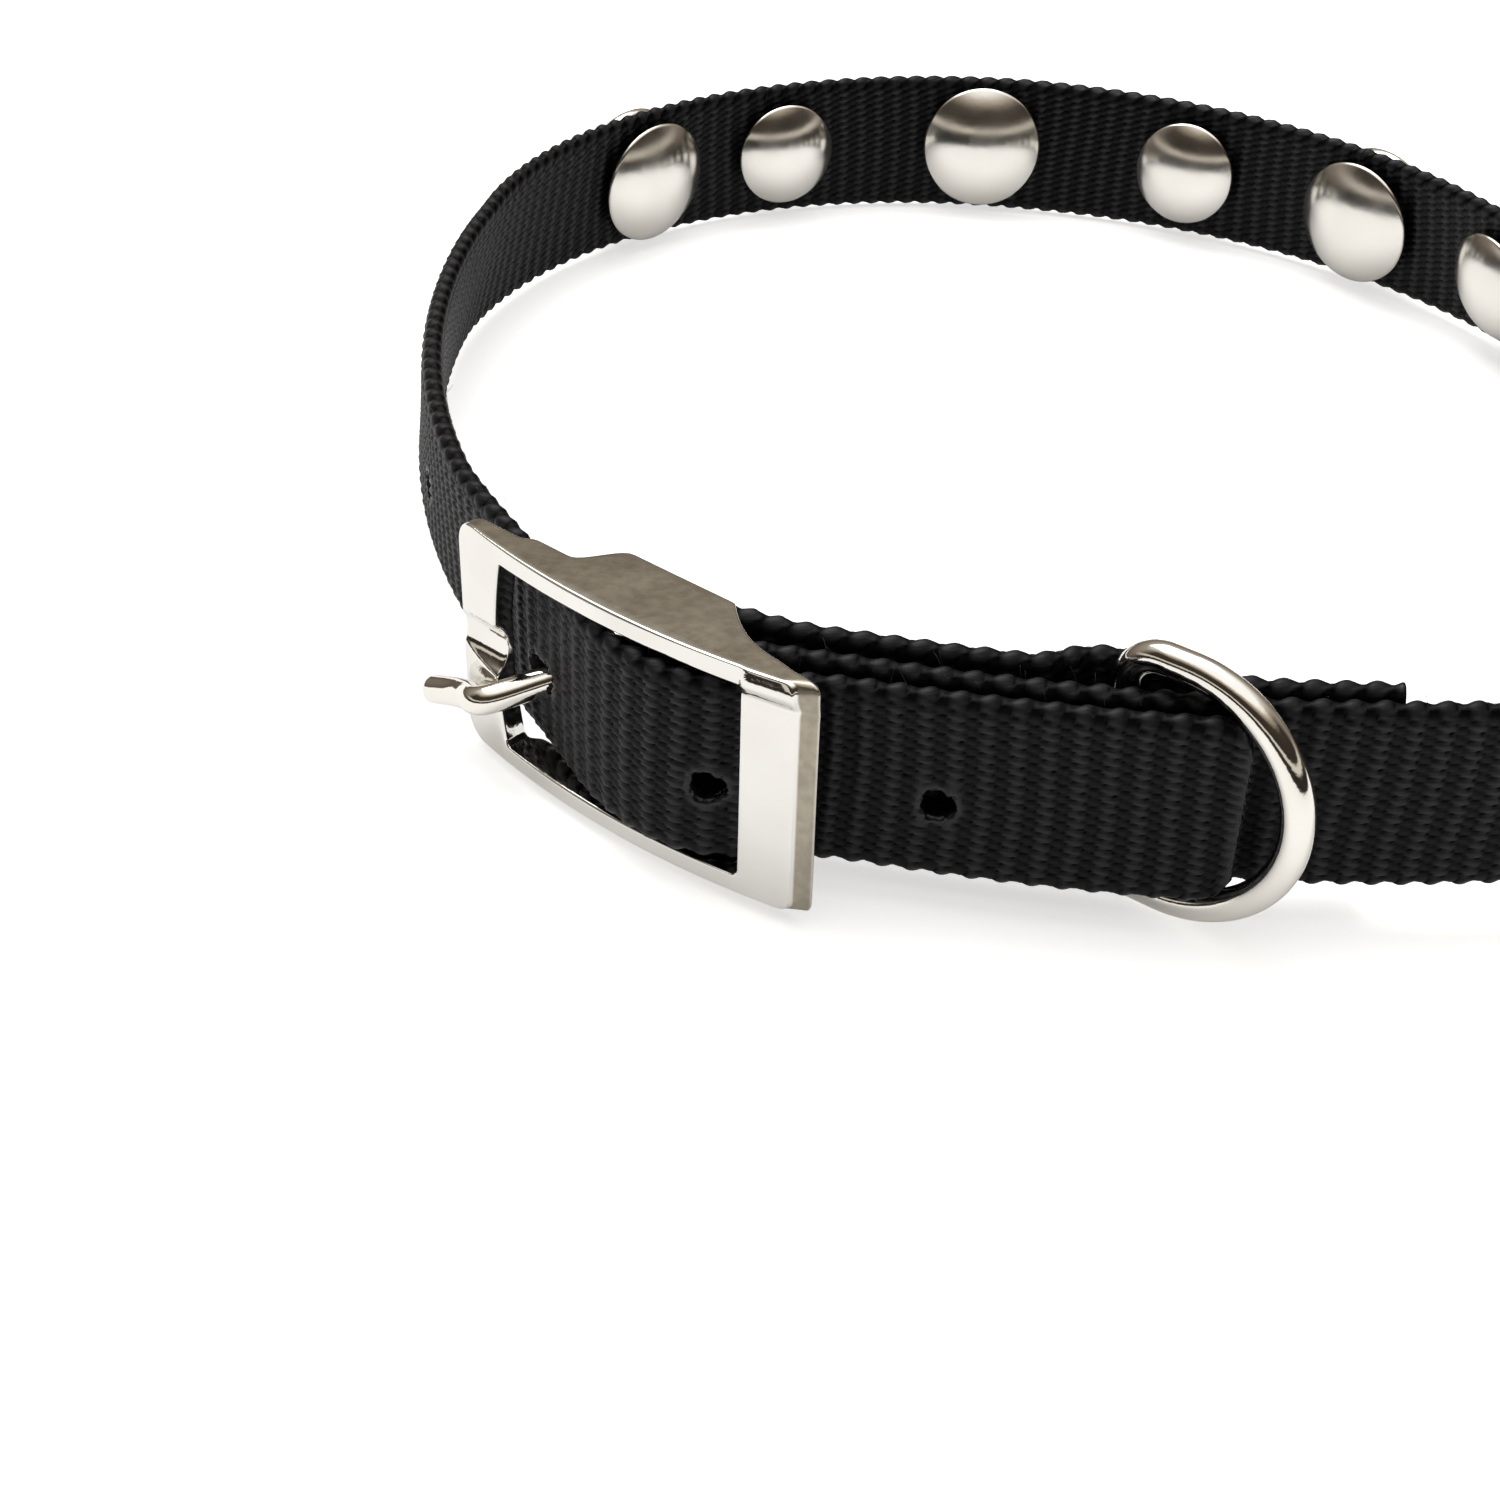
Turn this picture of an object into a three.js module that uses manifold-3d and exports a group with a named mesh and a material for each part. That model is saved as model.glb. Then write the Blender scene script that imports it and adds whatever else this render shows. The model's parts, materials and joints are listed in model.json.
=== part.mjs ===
// A narrow dog collar of black webbing, buckled into a loop and standing on its edge.
// One strap runs from its round-cornered tip, out through the buckle, right round the neck and back to
// the buckle, where it folds over the centre bar and is sewn down inside with a D-ring in the fold.
// Millimetres, +Z up. Looking along +Y the buckle is at the near left and the D-ring at the near right.
import * as THREE from 'three';
import { mergeVertices } from 'three/addons/utils/BufferGeometryUtils.js';
import Module from 'manifold-3d';

const wasm = await Module();
wasm.setup();

// Webbing
const webWidth = 12;
const webThickness = 1.6;
const webEdgeChamfer = 0.4;
const neckLoopLength = 317.9;
const tipPastRing = 6.1;
const tipCornerRadius = 2.6;
const tipLapReach = 60;
const foldBackLength = 42;
const adjustHoleDiameter = 2.1;
const adjustHolePitch = 12.5;
const adjustHoleCount = 5;
const adjustHoleDrop = 1;
const prongHoleBeforeBar = 7.4;
const prongHoleLength = 5.2;
const prongHoleWidth = 3;

// Clearances
const fitGap = 0.3;
const lapGap = 0.55;
const barGap = 0.35;

// Buckle
const buckleLength = 26.5;
const buckleWall = 1.2;
const buckleFrontBow = 1.6;
const buckleBackDepth = 1.3;
const prongBarBackDepth = 0.8;
const buckleCornerRadius = 1.3;
const prongBarWidth = 3.7;
const keeperPlateWidth = 3.4;
const windowEndBulge = 0.8;
const centreBarDiameter = 1.6;
const centreBarFromMiddle = 1;
const bellyReach = 5.6;
const webProudOfFront = 0.1;
const seatRadius = 1.9;
const seatDepth = 0.7;
const crestShare = 0.81931;

// Prong
const prongWire = 1.8;
const prongPastBar = 1.8;
const prongDroop = 4.8;
const prongRingRise = 0.6;
const prongDropAtHole = 1.2;

// D-ring
const ringWire = 1.9;
const ringSideClearance = 0.5;
const ringArmLength = 3.6;
const ringCornerRadius = 2.2;
const ringFromBar = 27;
const ringSwing = THREE.MathUtils.degToRad(32);

// Rivets: the caps show inside the collar, the heads outside
const lastRivetBeforeBar = 94.5;
const rivetGaps = [14.8, 19.4, 19.7, 17.7, 16.5, 17, 17, 17];
const postDiameter = 2.4;
const largeRivet = { cap: 10.8, capHeight: 2.3, head: 10.8, headHeight: 3.8 };
const smallRivet = { cap: 9.2, capHeight: 2.1, head: 9.2, headHeight: 3 };

// How the collar lies: the view's left-to-right line makes this angle with the buckle
const buckleYaw = THREE.MathUtils.degToRad(-41.5);

// Facets
const maxStep = 3.8;
const maxStepTurn = THREE.MathUtils.degToRad(8);
const roundSides = 20;
const wireSides = 10;

const UP = new THREE.Vector3(0, 0, 1);

const webbing = new THREE.MeshStandardMaterial({ color: 0x17171a, roughness: 0.85, metalness: 0 });
const nickel = new THREE.MeshStandardMaterial({ color: 0xd9d5cd, roughness: 0.18, metalness: 1 });

// Worked-out sizes
const windowHeight = webWidth + 2 * fitGap;
const buckleHeight = windowHeight + 2 * buckleWall;
const windowLeft = -buckleLength / 2 + prongBarWidth;
const windowRight = buckleLength / 2 - keeperPlateWidth;
const barRadius = centreBarDiameter / 2;
const barInset = barRadius + 2 * webThickness + barGap + lapGap - buckleFrontBow - webProudOfFront;
const foldRadius = barRadius + barGap + webThickness / 2;
const tipLapOffset = webThickness + lapGap;
const ringBarInset = webThickness / 2 + fitGap + ringWire / 2;
const ringPocket = webThickness + ringWire + 2 * fitGap;

/** A solid that manifold can cut, from a closed three.js geometry. */
function solidOf(geometry) {
  const bare = geometry.clone();
  bare.deleteAttribute('normal');
  bare.deleteAttribute('uv');
  const merged = mergeVertices(bare, 1e-4);
  const vertProperties = Float32Array.from(merged.attributes.position.array);
  const triVerts = Uint32Array.from(merged.index.array);
  return new wasm.Manifold(new wasm.Mesh({ numProp: 3, vertProperties, triVerts }));
}

/** A three.js geometry from a manifold solid. */
function geometryOf(solid) {
  const mesh = solid.getMesh();
  const geometry = new THREE.BufferGeometry();
  geometry.setAttribute('position', new THREE.BufferAttribute(Float32Array.from(mesh.vertProperties), 3));
  geometry.setIndex(new THREE.BufferAttribute(Uint32Array.from(mesh.triVerts), 1));
  geometry.computeVertexNormals();
  return geometry;
}

/**
 * A closed solid from a section carried along stations. A station has its point, the section's two
 * axes across and up (across x up points back along the path) and the share of the section's height.
 */
function sweep(stations, section, isRing = false) {
  const positions = [];
  for (const station of stations) {
    for (const [across, up] of section) {
      const corner = station.point.clone();
      corner.addScaledVector(station.across, across);
      corner.addScaledVector(station.up, up * (station.height ?? 1));
      positions.push(corner.x, corner.y, corner.z);
    }
  }
  const sides = section.length;
  const indices = [];
  const spans = isRing ? stations.length : stations.length - 1;
  for (let i = 0; i < spans; i += 1) {
    const here = i * sides;
    const next = ((i + 1) % stations.length) * sides;
    for (let j = 0; j < sides; j += 1) {
      const k = (j + 1) % sides;
      indices.push(here + j, next + j, here + k);
      indices.push(here + k, next + j, next + k);
    }
  }
  if (!isRing) {
    const last = (stations.length - 1) * sides;
    for (let j = 1; j < sides - 1; j += 1) {
      indices.push(0, j, j + 1);
      indices.push(last, last + j + 1, last + j);
    }
  }
  const geometry = new THREE.BufferGeometry();
  geometry.setAttribute('position', new THREE.Float32BufferAttribute(positions, 3));
  geometry.setIndex(indices);
  return geometry;
}

/** Stations along a list of points, with the section's across axis square to the path and its side. */
function stationsAlong(points, sides, isRing = false) {
  const count = points.length;
  return points.map((point, i) => {
    const before = points[isRing ? (i + count - 1) % count : Math.max(i - 1, 0)];
    const after = points[isRing ? (i + 1) % count : Math.min(i + 1, count - 1)];
    const tangent = after.clone().sub(before).normalize();
    const across = tangent.clone().cross(sides[i] ?? sides[0]).normalize();
    const up = across.clone().cross(tangent);
    return { point, across, up };
  });
}

/** A round section with the given diameter. */
function roundSection(diameter, sides) {
  const section = [];
  for (let i = 0; i < sides; i += 1) {
    const angle = (i / sides) * 2 * Math.PI;
    section.push([(diameter / 2) * Math.cos(angle), (diameter / 2) * Math.sin(angle)]);
  }
  return section;
}

/** How far the strap's outer face drops from its crest over the bar to pass behind an end of the frame. */
function dropBehind(backDepth) {
  return buckleFrontBow + webProudOfFront + backDepth + barGap;
}

// The crest is rounded to a share of the widest round whose outer face still clears the keeper
const reachToKeeper = windowRight - centreBarFromMiddle;
const reachToProngBar = centreBarFromMiddle - windowLeft - windowEndBulge;
const dropToKeeper = dropBehind(buckleBackDepth);
const widestRound = (reachToKeeper ** 2 + dropToKeeper ** 2) / (2 * dropToKeeper);
const outerRadius = crestShare * widestRound;
const crestRadius = outerRadius - tipLapOffset - webThickness / 2;

/**
 * How far the strap turns on one side of the bar, so that its outer face just passes behind an end
 * of the frame: the tangent from that end's inner edge to the round of the strap over the bar.
 */
function turnBehind(endDistance, drop) {
  const toEnd = Math.hypot(endDistance, outerRadius - drop);
  return Math.atan2(endDistance, outerRadius - drop) - Math.acos(outerRadius / toEnd);
}

const turnToKeeper = turnBehind(reachToKeeper, dropToKeeper);
const turnFromProngBar = turnBehind(reachToProngBar, dropBehind(prongBarBackDepth));
const roundTurn = 2 * Math.PI - turnToKeeper - turnFromProngBar;

// The loop, as the strap's middle line from the centre bar round to the bar again. Each stretch is
// an arc, with its share of the loop's length, its share of the turning that the bar's crest leaves,
// and how far the strap's top edge leans out, in degrees, at the stretch's end. The two stretches
// marked open take the length that closes the loop.
const roundStretches = [
  { name: 'behind the keeper', length: 0.0301, turn: -0.0011, lean: 0, open: false },
  { name: 'near front', length: 0.0513, turn: 0.0239, lean: 0, open: false },
  { name: 'near right', length: 0.053, turn: 0.0317, lean: 0, open: false },
  { name: 'near right corner', length: 0.0994, turn: 0.2169, lean: -3, open: false },
  { name: 'right side', length: 0.1784, turn: 0.1286, lean: -15, open: false },
  { name: 'far right', length: 0.1562, turn: 0.1848, lean: 5, open: true },
  { name: 'far left', length: 0.2049, turn: 0.2947, lean: -15, open: false },
  { name: 'left side', length: 0.1453, turn: 0.1117, lean: 3, open: true },
  { name: 'up to the buckle', length: 0.0283, turn: 0.0088, lean: 0, open: false },
  { name: 'behind the prong bar', length: 0.0315, turn: 0, lean: 0, open: false },
];

/** How far an arc of unit length carries a point, from its first and last heading. */
function unitArc(from, to) {
  const turn = to - from;
  if (Math.abs(turn) < 1e-9) return new THREE.Vector2(Math.cos(from), Math.sin(from));
  return new THREE.Vector2(Math.sin(to) - Math.sin(from), Math.cos(from) - Math.cos(to)).divideScalar(turn);
}

/** The loop's arcs, each with its start, first heading, turn and length. */
function closedLoop() {
  const rows = [
    { length: crestRadius * turnToKeeper, turn: turnToKeeper, lean: 0, open: false },
    ...roundStretches.map((row) => ({
      length: row.length * neckLoopLength,
      turn: row.turn * roundTurn,
      lean: THREE.MathUtils.degToRad(row.lean),
      open: row.open,
    })),
    { length: crestRadius * turnFromProngBar, turn: turnFromProngBar, lean: 0, open: false },
  ];
  let heading = 0;
  const fixed = new THREE.Vector2();
  for (const row of rows) {
    row.heading = heading;
    row.unit = unitArc(heading, heading + row.turn);
    heading += row.turn;
    if (!row.open) fixed.addScaledVector(row.unit, row.length);
  }
  const [first, second] = rows.filter((row) => row.open);
  const area = first.unit.cross(second.unit);
  first.length = -fixed.cross(second.unit) / area;
  second.length = -first.unit.cross(fixed) / area;
  const start = new THREE.Vector2(centreBarFromMiddle, barInset - foldRadius);
  let along = 0;
  for (const row of rows) {
    row.start = start.clone();
    row.from = along;
    start.addScaledVector(row.unit, row.length);
    along += row.length;
  }
  return rows;
}

const loop = closedLoop();
const loopLength = loop.reduce((sum, row) => sum + row.length, 0);

/** A place on the loop: the point a distance inward of the middle line, and how the strap faces. */
function onLoop(along, inward = 0) {
  const s = ((along % loopLength) + loopLength) % loopLength;
  const row = loop.findLast((candidate) => candidate.from <= s + 1e-9);
  const part = (s - row.from) / row.length;
  const heading = row.heading + row.turn * part;
  const step = unitArc(row.heading, heading).multiplyScalar(s - row.from);
  const before = loop[Math.max(loop.indexOf(row) - 1, 0)];
  const lean = THREE.MathUtils.lerp(before.lean, row.lean, part);
  const tangent = new THREE.Vector3(Math.cos(heading), Math.sin(heading), 0);
  const left = UP.clone().cross(tangent).applyAxisAngle(tangent, lean);
  const up = tangent.clone().cross(left);
  const point = new THREE.Vector3(row.start.x + step.x, row.start.y + step.y, 0);
  point.addScaledVector(left, inward);
  return { point, heading, tangent, left, up, curvature: row.turn / row.length };
}

/** Distances along the loop between two places, close enough together for each arc's bend. */
function stepsBetween(from, to) {
  const steps = [from];
  for (let lap = Math.floor(from / loopLength); lap * loopLength < to; lap += 1) {
    for (const row of loop) {
      const rowStart = lap * loopLength + row.from;
      const parts = Math.ceil(Math.max(row.length / maxStep, row.turn / maxStepTurn));
      for (let i = 0; i < parts; i += 1) {
        const s = rowStart + (row.length * i) / parts;
        if (s > from + 0.2 && s < to - 0.2) steps.push(s);
      }
    }
  }
  steps.push(to);
  return steps;
}

/** A smooth rise from 0 to 1 as x goes from a to b. */
function ease(x, a, b) {
  return THREE.MathUtils.smootherstep(x, a, b);
}

/** How far inward of the main lap the sewn lap lies: round the bar, closer, round the ring, closed. */
function sewnLapInset(along) {
  const closed = webThickness + fitGap;
  const eased = closed + 0.35 * ringWire;
  const fromBar = eased + (2 * foldRadius - eased) * (1 - ease(along, 0.02 * ringFromBar, 0.4 * ringFromBar));
  const pocketReach = 1.6 * ringWire;
  const rise = ease(along, ringFromBar - 2 * pocketReach, ringFromBar - 0.4 * pocketReach);
  const fall = ease(along, ringFromBar + 0.4 * pocketReach, ringFromBar + 2.6 * pocketReach);
  const before = fromBar + (ringPocket - fromBar) * rise;
  return before + (closed - before) * fall;
}

/** How far outward of the main lap the strap lies as it comes up to the bar and beyond to the tip. */
function tipLapRise(along) {
  const bar = loopLength - crestRadius * turnFromProngBar;
  return tipLapOffset * ease(along, bar - tipLapReach, bar);
}

/** A point of the strap's last lap, by its distance past the centre bar, and the way it faces. */
function onTipLap(pastBar, outward = 0) {
  const along = loopLength + pastBar;
  const place = onLoop(along, -tipLapRise(along));
  const ahead = onLoop(along + 0.05, -tipLapRise(along + 0.05));
  const tangent = ahead.point.clone().sub(place.point).normalize();
  const outside = tangent.clone().cross(UP);
  return { point: place.point.clone().addScaledVector(outside, outward), tangent, outside };
}

/** The strap's section: a flat band with its two woven edges taken off. */
function webSection() {
  const h = webWidth / 2;
  const w = webThickness / 2;
  const c = webEdgeChamfer;
  return [
    [w - c, -h], [w, -h + c], [w, h - c], [w - c, h],
    [-w + c, h], [-w, h - c], [-w, -h + c], [-w + c, -h],
  ];
}

const tipEnd = ringFromBar + tipPastRing;

/** The strap's middle line: sewn lap, fold round the bar, the loop, and the last lap to the tip. */
function strapStations() {
  const points = [];
  const sides = [];
  const put = (point, side = UP) => {
    points.push(point);
    sides.push(side);
  };
  for (const s of stepsBetween(0, foldBackLength).reverse()) {
    put(onLoop(s, sewnLapInset(s)).point);
  }
  const bar = new THREE.Vector3(centreBarFromMiddle, barInset, 0);
  const foldSteps = 8;
  for (let i = 1; i < foldSteps; i += 1) {
    const angle = (i / foldSteps) * Math.PI;
    const reach = new THREE.Vector3(-Math.sin(angle), Math.cos(angle), 0);
    put(bar.clone().addScaledVector(reach, foldRadius));
  }
  for (const s of stepsBetween(0, loopLength + tipEnd - tipCornerRadius)) {
    const place = onLoop(s, -tipLapRise(s));
    put(place.point, place.up);
  }
  const cornerSteps = 4;
  const heights = points.map(() => 1);
  for (let i = 1; i <= cornerSteps; i += 1) {
    const angle = (i / cornerSteps) * (Math.PI / 2);
    put(onTipLap(tipEnd - tipCornerRadius * (1 - Math.sin(angle))).point);
    heights.push(1 - (tipCornerRadius * (1 - Math.cos(angle))) / (webWidth / 2));
  }
  return stationsAlong(points, sides).map((station, i) => ({ ...station, height: heights[i] }));
}

/** A straight cutter with a round-ended slot section, through the strap at a place on it. */
function slotCutter(place, outside, up, length, width, depth) {
  const shape = new THREE.Shape();
  const straight = Math.max(length - width, 0) / 2;
  shape.absarc(straight, 0, width / 2, -Math.PI / 2, Math.PI / 2);
  shape.absarc(-straight, 0, width / 2, Math.PI / 2, (3 * Math.PI) / 2);
  const geometry = new THREE.ExtrudeGeometry(shape, { depth, bevelEnabled: false, curveSegments: 7 });
  geometry.translate(0, 0, -depth / 2);
  const along = up.clone().cross(outside);
  geometry.applyMatrix4(new THREE.Matrix4().makeBasis(along, up, outside));
  geometry.translate(place.x, place.y, place.z);
  return solidOf(geometry);
}

const rivets = [];
let rivetBeforeBar = lastRivetBeforeBar;
for (let i = 0; i <= rivetGaps.length; i += 1) {
  const size = i % 2 === 0 ? largeRivet : smallRivet;
  const place = onLoop(loopLength - rivetBeforeBar);
  const ahead = onLoop(loopLength - rivetBeforeBar + size.cap / 2);
  const behind = onLoop(loopLength - rivetBeforeBar - size.cap / 2);
  const curvature = Math.max(place.curvature, ahead.curvature, behind.curvature);
  rivets.push({ ...place, size, curvature });
  rivetBeforeBar += rivetGaps[i];
}
const prongRingRadius = barRadius + barGap + prongWire / 2;

/** The strap as one band, with its adjusting holes, rivet holes and the slot for the prong. */
function strapGeometry() {
  let strap = solidOf(sweep(strapStations(), webSection()));
  const through = 2 * webThickness;
  const firstHole = -prongHoleBeforeBar + 2 * adjustHolePitch;
  for (let i = 0; i < adjustHoleCount; i += 1) {
    const pastBar = firstHole - i * adjustHolePitch;
    const hole = onTipLap(pastBar);
    hole.point.z -= adjustHoleDrop;
    const heldByProng = Math.abs(pastBar + prongHoleBeforeBar) < 0.01;
    const length = heldByProng ? prongHoleLength : adjustHoleDiameter;
    const width = heldByProng ? prongHoleWidth : adjustHoleDiameter;
    strap = strap.subtract(slotCutter(hole.point, hole.outside, UP, length, width, through));
  }
  const postHole = postDiameter + 2 * barGap;
  for (const rivet of rivets) {
    const outside = rivet.left.clone().negate();
    strap = strap.subtract(slotCutter(rivet.point, outside, rivet.up, postHole, postHole, through));
  }
  const slotReach = prongRingRadius + prongWire / 2 + fitGap;
  const slotHeight = prongWire + 2 * fitGap + 2 * prongRingRise;
  const slotDepth = 2 * foldRadius + webThickness + lapGap;
  const slot = new THREE.BoxGeometry(2 * slotReach, slotDepth, slotHeight);
  slot.translate(centreBarFromMiddle, barInset, 0);
  strap = strap.subtract(solidOf(slot));
  return geometryOf(strap);
}

/** How far the buckle's face bows out at a distance from its middle. */
function faceBow(u) {
  return buckleFrontBow * (1 - (2 * u / buckleLength) ** 2);
}

/** The buckle: a bowed plate frame, its side rails deeper where they carry the centre bar. */
function buckleGeometry() {
  const half = buckleLength / 2;
  const plan = new THREE.Shape();
  plan.moveTo(-half, -faceBow(-half));
  const facets = 12;
  for (let i = 1; i <= facets; i += 1) {
    const u = -half + (i / facets) * buckleLength;
    plan.lineTo(u, -faceBow(u));
  }
  const bellyBack = barInset + barRadius;
  const bellyShoulder = bellyReach - 1.4;
  plan.lineTo(half, buckleBackDepth * 0.7);
  plan.lineTo(windowRight, buckleBackDepth);
  plan.lineTo(centreBarFromMiddle + bellyReach, buckleBackDepth);
  plan.lineTo(centreBarFromMiddle + bellyShoulder, bellyBack);
  plan.lineTo(centreBarFromMiddle - bellyShoulder, bellyBack);
  plan.lineTo(centreBarFromMiddle - bellyReach, buckleBackDepth);
  plan.lineTo(windowLeft + 2 * windowEndBulge, buckleBackDepth);
  plan.lineTo(windowLeft + windowEndBulge, prongBarBackDepth);
  plan.lineTo(-half, prongBarBackDepth);
  plan.closePath();
  const body = new THREE.ExtrudeGeometry(plan, { depth: buckleHeight, bevelEnabled: false });
  body.translate(0, 0, -buckleHeight / 2);

  const outline = new THREE.Shape();
  const h = buckleHeight / 2;
  const r = buckleCornerRadius;
  outline.moveTo(-half + r, -h);
  outline.lineTo(half - r, -h);
  outline.absarc(half - r, -h + r, r, -Math.PI / 2, 0);
  outline.absarc(half - r, h - r, r, 0, Math.PI / 2);
  outline.absarc(-half + r, h - r, r, Math.PI / 2, Math.PI);
  outline.absarc(-half + r, -h + r, r, Math.PI, 1.5 * Math.PI);
  const thick = 4 * (bellyBack + buckleFrontBow);
  const outlineSolid = extrudedOutward(outline, thick);

  const opening = new THREE.Shape();
  const w = windowHeight / 2;
  opening.moveTo(windowLeft + windowEndBulge, -w);
  opening.lineTo(windowRight, -w);
  opening.lineTo(windowRight, w);
  opening.lineTo(windowLeft + windowEndBulge, w);
  opening.quadraticCurveTo(windowLeft - windowEndBulge, 0, windowLeft + windowEndBulge, -w);
  const openingSolid = extrudedOutward(opening, thick);

  const bar = new THREE.CylinderGeometry(barRadius, barRadius, windowHeight + buckleWall, roundSides);
  bar.rotateX(Math.PI / 2);
  bar.translate(centreBarFromMiddle, barInset, 0);

  const seat = new THREE.CylinderGeometry(seatRadius, seatRadius, 2 * prongBarWidth, roundSides);
  seat.rotateZ(Math.PI / 2);
  const seatMiddle = windowLeft - prongBarWidth / 2;
  seat.translate(seatMiddle, -faceBow(seatMiddle) - seatRadius + seatDepth, 0);

  const frame = solidOf(body).intersect(outlineSolid).subtract(openingSolid);
  return geometryOf(frame.add(solidOf(bar)).subtract(solidOf(seat)));
}

/** A solid from an outline in the buckle's length and height, run through its thickness. */
function extrudedOutward(shape, depth) {
  const geometry = new THREE.ExtrudeGeometry(shape, { depth, bevelEnabled: false, curveSegments: 5 });
  geometry.translate(0, 0, -depth / 2);
  geometry.rotateX(Math.PI / 2);
  return solidOf(geometry);
}

/**
 * The prong: bent wire, closed round the centre bar, lying under the last lap, up through its hole
 * and over the end bar. It lies a little below the seat, as it was pulled aside.
 */
function prongGeometry() {
  const wireRadius = prongWire / 2;
  const under = -(webThickness / 2 + fitGap + wireRadius);
  const points = [];
  const turns = 10;
  const ringStart = THREE.MathUtils.degToRad(308);
  for (let i = 0; i <= turns; i += 1) {
    const angle = ringStart * (1 - i / turns);
    const x = centreBarFromMiddle + prongRingRadius * Math.sin(angle);
    const y = barInset - prongRingRadius * Math.cos(angle);
    points.push(new THREE.Vector3(x, y, prongRingRise));
  }
  const rise = [
    { beforeHole: 4.2, outward: under, drop: 0.1 },
    { beforeHole: 2.7, outward: under, drop: 0.5 },
    { beforeHole: 1.3, outward: 0.72 * under, drop: 0.85 },
    { beforeHole: 0, outward: 0, drop: 1 },
  ];
  for (const row of rise) {
    const place = onTipLap(row.beforeHole - prongHoleBeforeBar, row.outward);
    points.push(place.point.clone().setZ(prongRingRise - (prongRingRise + prongDropAtHole) * row.drop));
  }
  const tip = -buckleLength / 2 - prongPastBar;
  const hole = points.at(-1);
  for (const u of [windowLeft + 0.6, windowLeft - 0.4 * prongBarWidth, windowLeft - 0.8 * prongBarWidth, tip]) {
    const clear = faceBow(Math.max(u, -buckleLength / 2)) + 1.3 * fitGap + wireRadius;
    const z = THREE.MathUtils.lerp(hole.z, -prongDroop, (hole.x - u) / (hole.x - tip));
    points.push(new THREE.Vector3(u, -clear, z));
  }
  const curve = new THREE.CatmullRomCurve3(points, false, 'centripetal');
  const smooth = curve.getSpacedPoints(44);
  return sweep(stationsAlong(smooth, [UP]), roundSection(prongWire, 8));
}

/** The D-ring in its own plane: a straight bar up Z at the origin, the bow reaching out along X. */
function ringGeometry() {
  const arc = webWidth / 2 + ringSideClearance + ringWire / 2;
  const corner = ringCornerRadius;
  const points = [];
  const put = (x, z) => points.push(new THREE.Vector3(x, 0, z));
  put(0, 0);
  for (let i = 0; i <= 4; i += 1) {
    const angle = (i / 4) * (Math.PI / 2);
    put(corner * (1 - Math.cos(angle)), arc - corner + corner * Math.sin(angle));
  }
  const bowSteps = 16;
  for (let i = 0; i <= bowSteps; i += 1) {
    const angle = Math.PI / 2 - (i / bowSteps) * Math.PI;
    put(ringArmLength + arc * Math.cos(angle), arc * Math.sin(angle));
  }
  for (let i = 0; i <= 4; i += 1) {
    const angle = (i / 4) * (Math.PI / 2);
    put(corner * (1 - Math.sin(angle)), -arc + corner - corner * Math.cos(angle));
  }
  const side = new THREE.Vector3(0, 1, 0);
  const stations = stationsAlong(points, [side], true);
  return sweep(stations, roundSection(ringWire, wireSides), true);
}

/** A domed button on its back, turned about +Y: a short upright rim and a low dome over it. */
function domeProfile(radius, height, boreRadius, boreDepth) {
  const rim = 0.28 * height;
  const profile = [new THREE.Vector2(0, boreDepth)];
  if (boreDepth > 0) {
    profile.push(new THREE.Vector2(boreRadius, boreDepth), new THREE.Vector2(boreRadius, 0));
  }
  profile.push(new THREE.Vector2(0.94 * radius, 0), new THREE.Vector2(radius, rim));
  const steps = 4;
  for (let i = 1; i < steps; i += 1) {
    const angle = (i / steps) * (Math.PI / 2);
    profile.push(new THREE.Vector2(radius * Math.cos(angle), rim + (height - rim) * Math.sin(angle)));
  }
  profile.push(new THREE.Vector2(0, height));
  return profile;
}

/** A rivet's cap, its back at the origin and its dome to the inside of the collar. */
function capGeometry(size) {
  const profile = domeProfile(size.cap / 2, size.capHeight, postDiameter / 2 + fitGap, 0.55 * size.capHeight);
  return new THREE.LatheGeometry(profile, roundSides);
}

/** A rivet's head and its post, the head's back at the origin and its dome to the outside. */
function headGeometry(size, postLength) {
  const dome = solidOf(new THREE.LatheGeometry(domeProfile(size.head / 2, size.headHeight, 0, 0), roundSides));
  const post = new THREE.CylinderGeometry(postDiameter / 2, postDiameter / 2, postLength + 1, 10);
  post.translate(0, -(postLength - 1) / 2, 0);
  return geometryOf(dome.add(solidOf(post))).rotateX(Math.PI);
}

function named(name, geometry, material) {
  const mesh = new THREE.Mesh(geometry, material);
  mesh.name = name;
  return mesh;
}

/** A group standing at a place on the strap, its X along the strap and its Y to the inside. */
function placedOnLoop(place, inward) {
  const group = new THREE.Group();
  group.position.copy(place.point).addScaledVector(place.left, inward);
  group.setRotationFromMatrix(new THREE.Matrix4().makeBasis(place.tangent, place.left, place.up));
  return group;
}

const collar = new THREE.Group();
collar.add(named('strap', strapGeometry(), webbing));
collar.add(named('buckle_frame', buckleGeometry(), nickel));
collar.add(named('prong', prongGeometry(), nickel));

const ringPlace = onLoop(ringFromBar, ringBarInset);
const ring = named('d_ring', ringGeometry(), nickel);
ring.position.copy(ringPlace.point);
ring.rotation.z = ringPlace.heading - ringSwing;
collar.add(ring);

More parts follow.
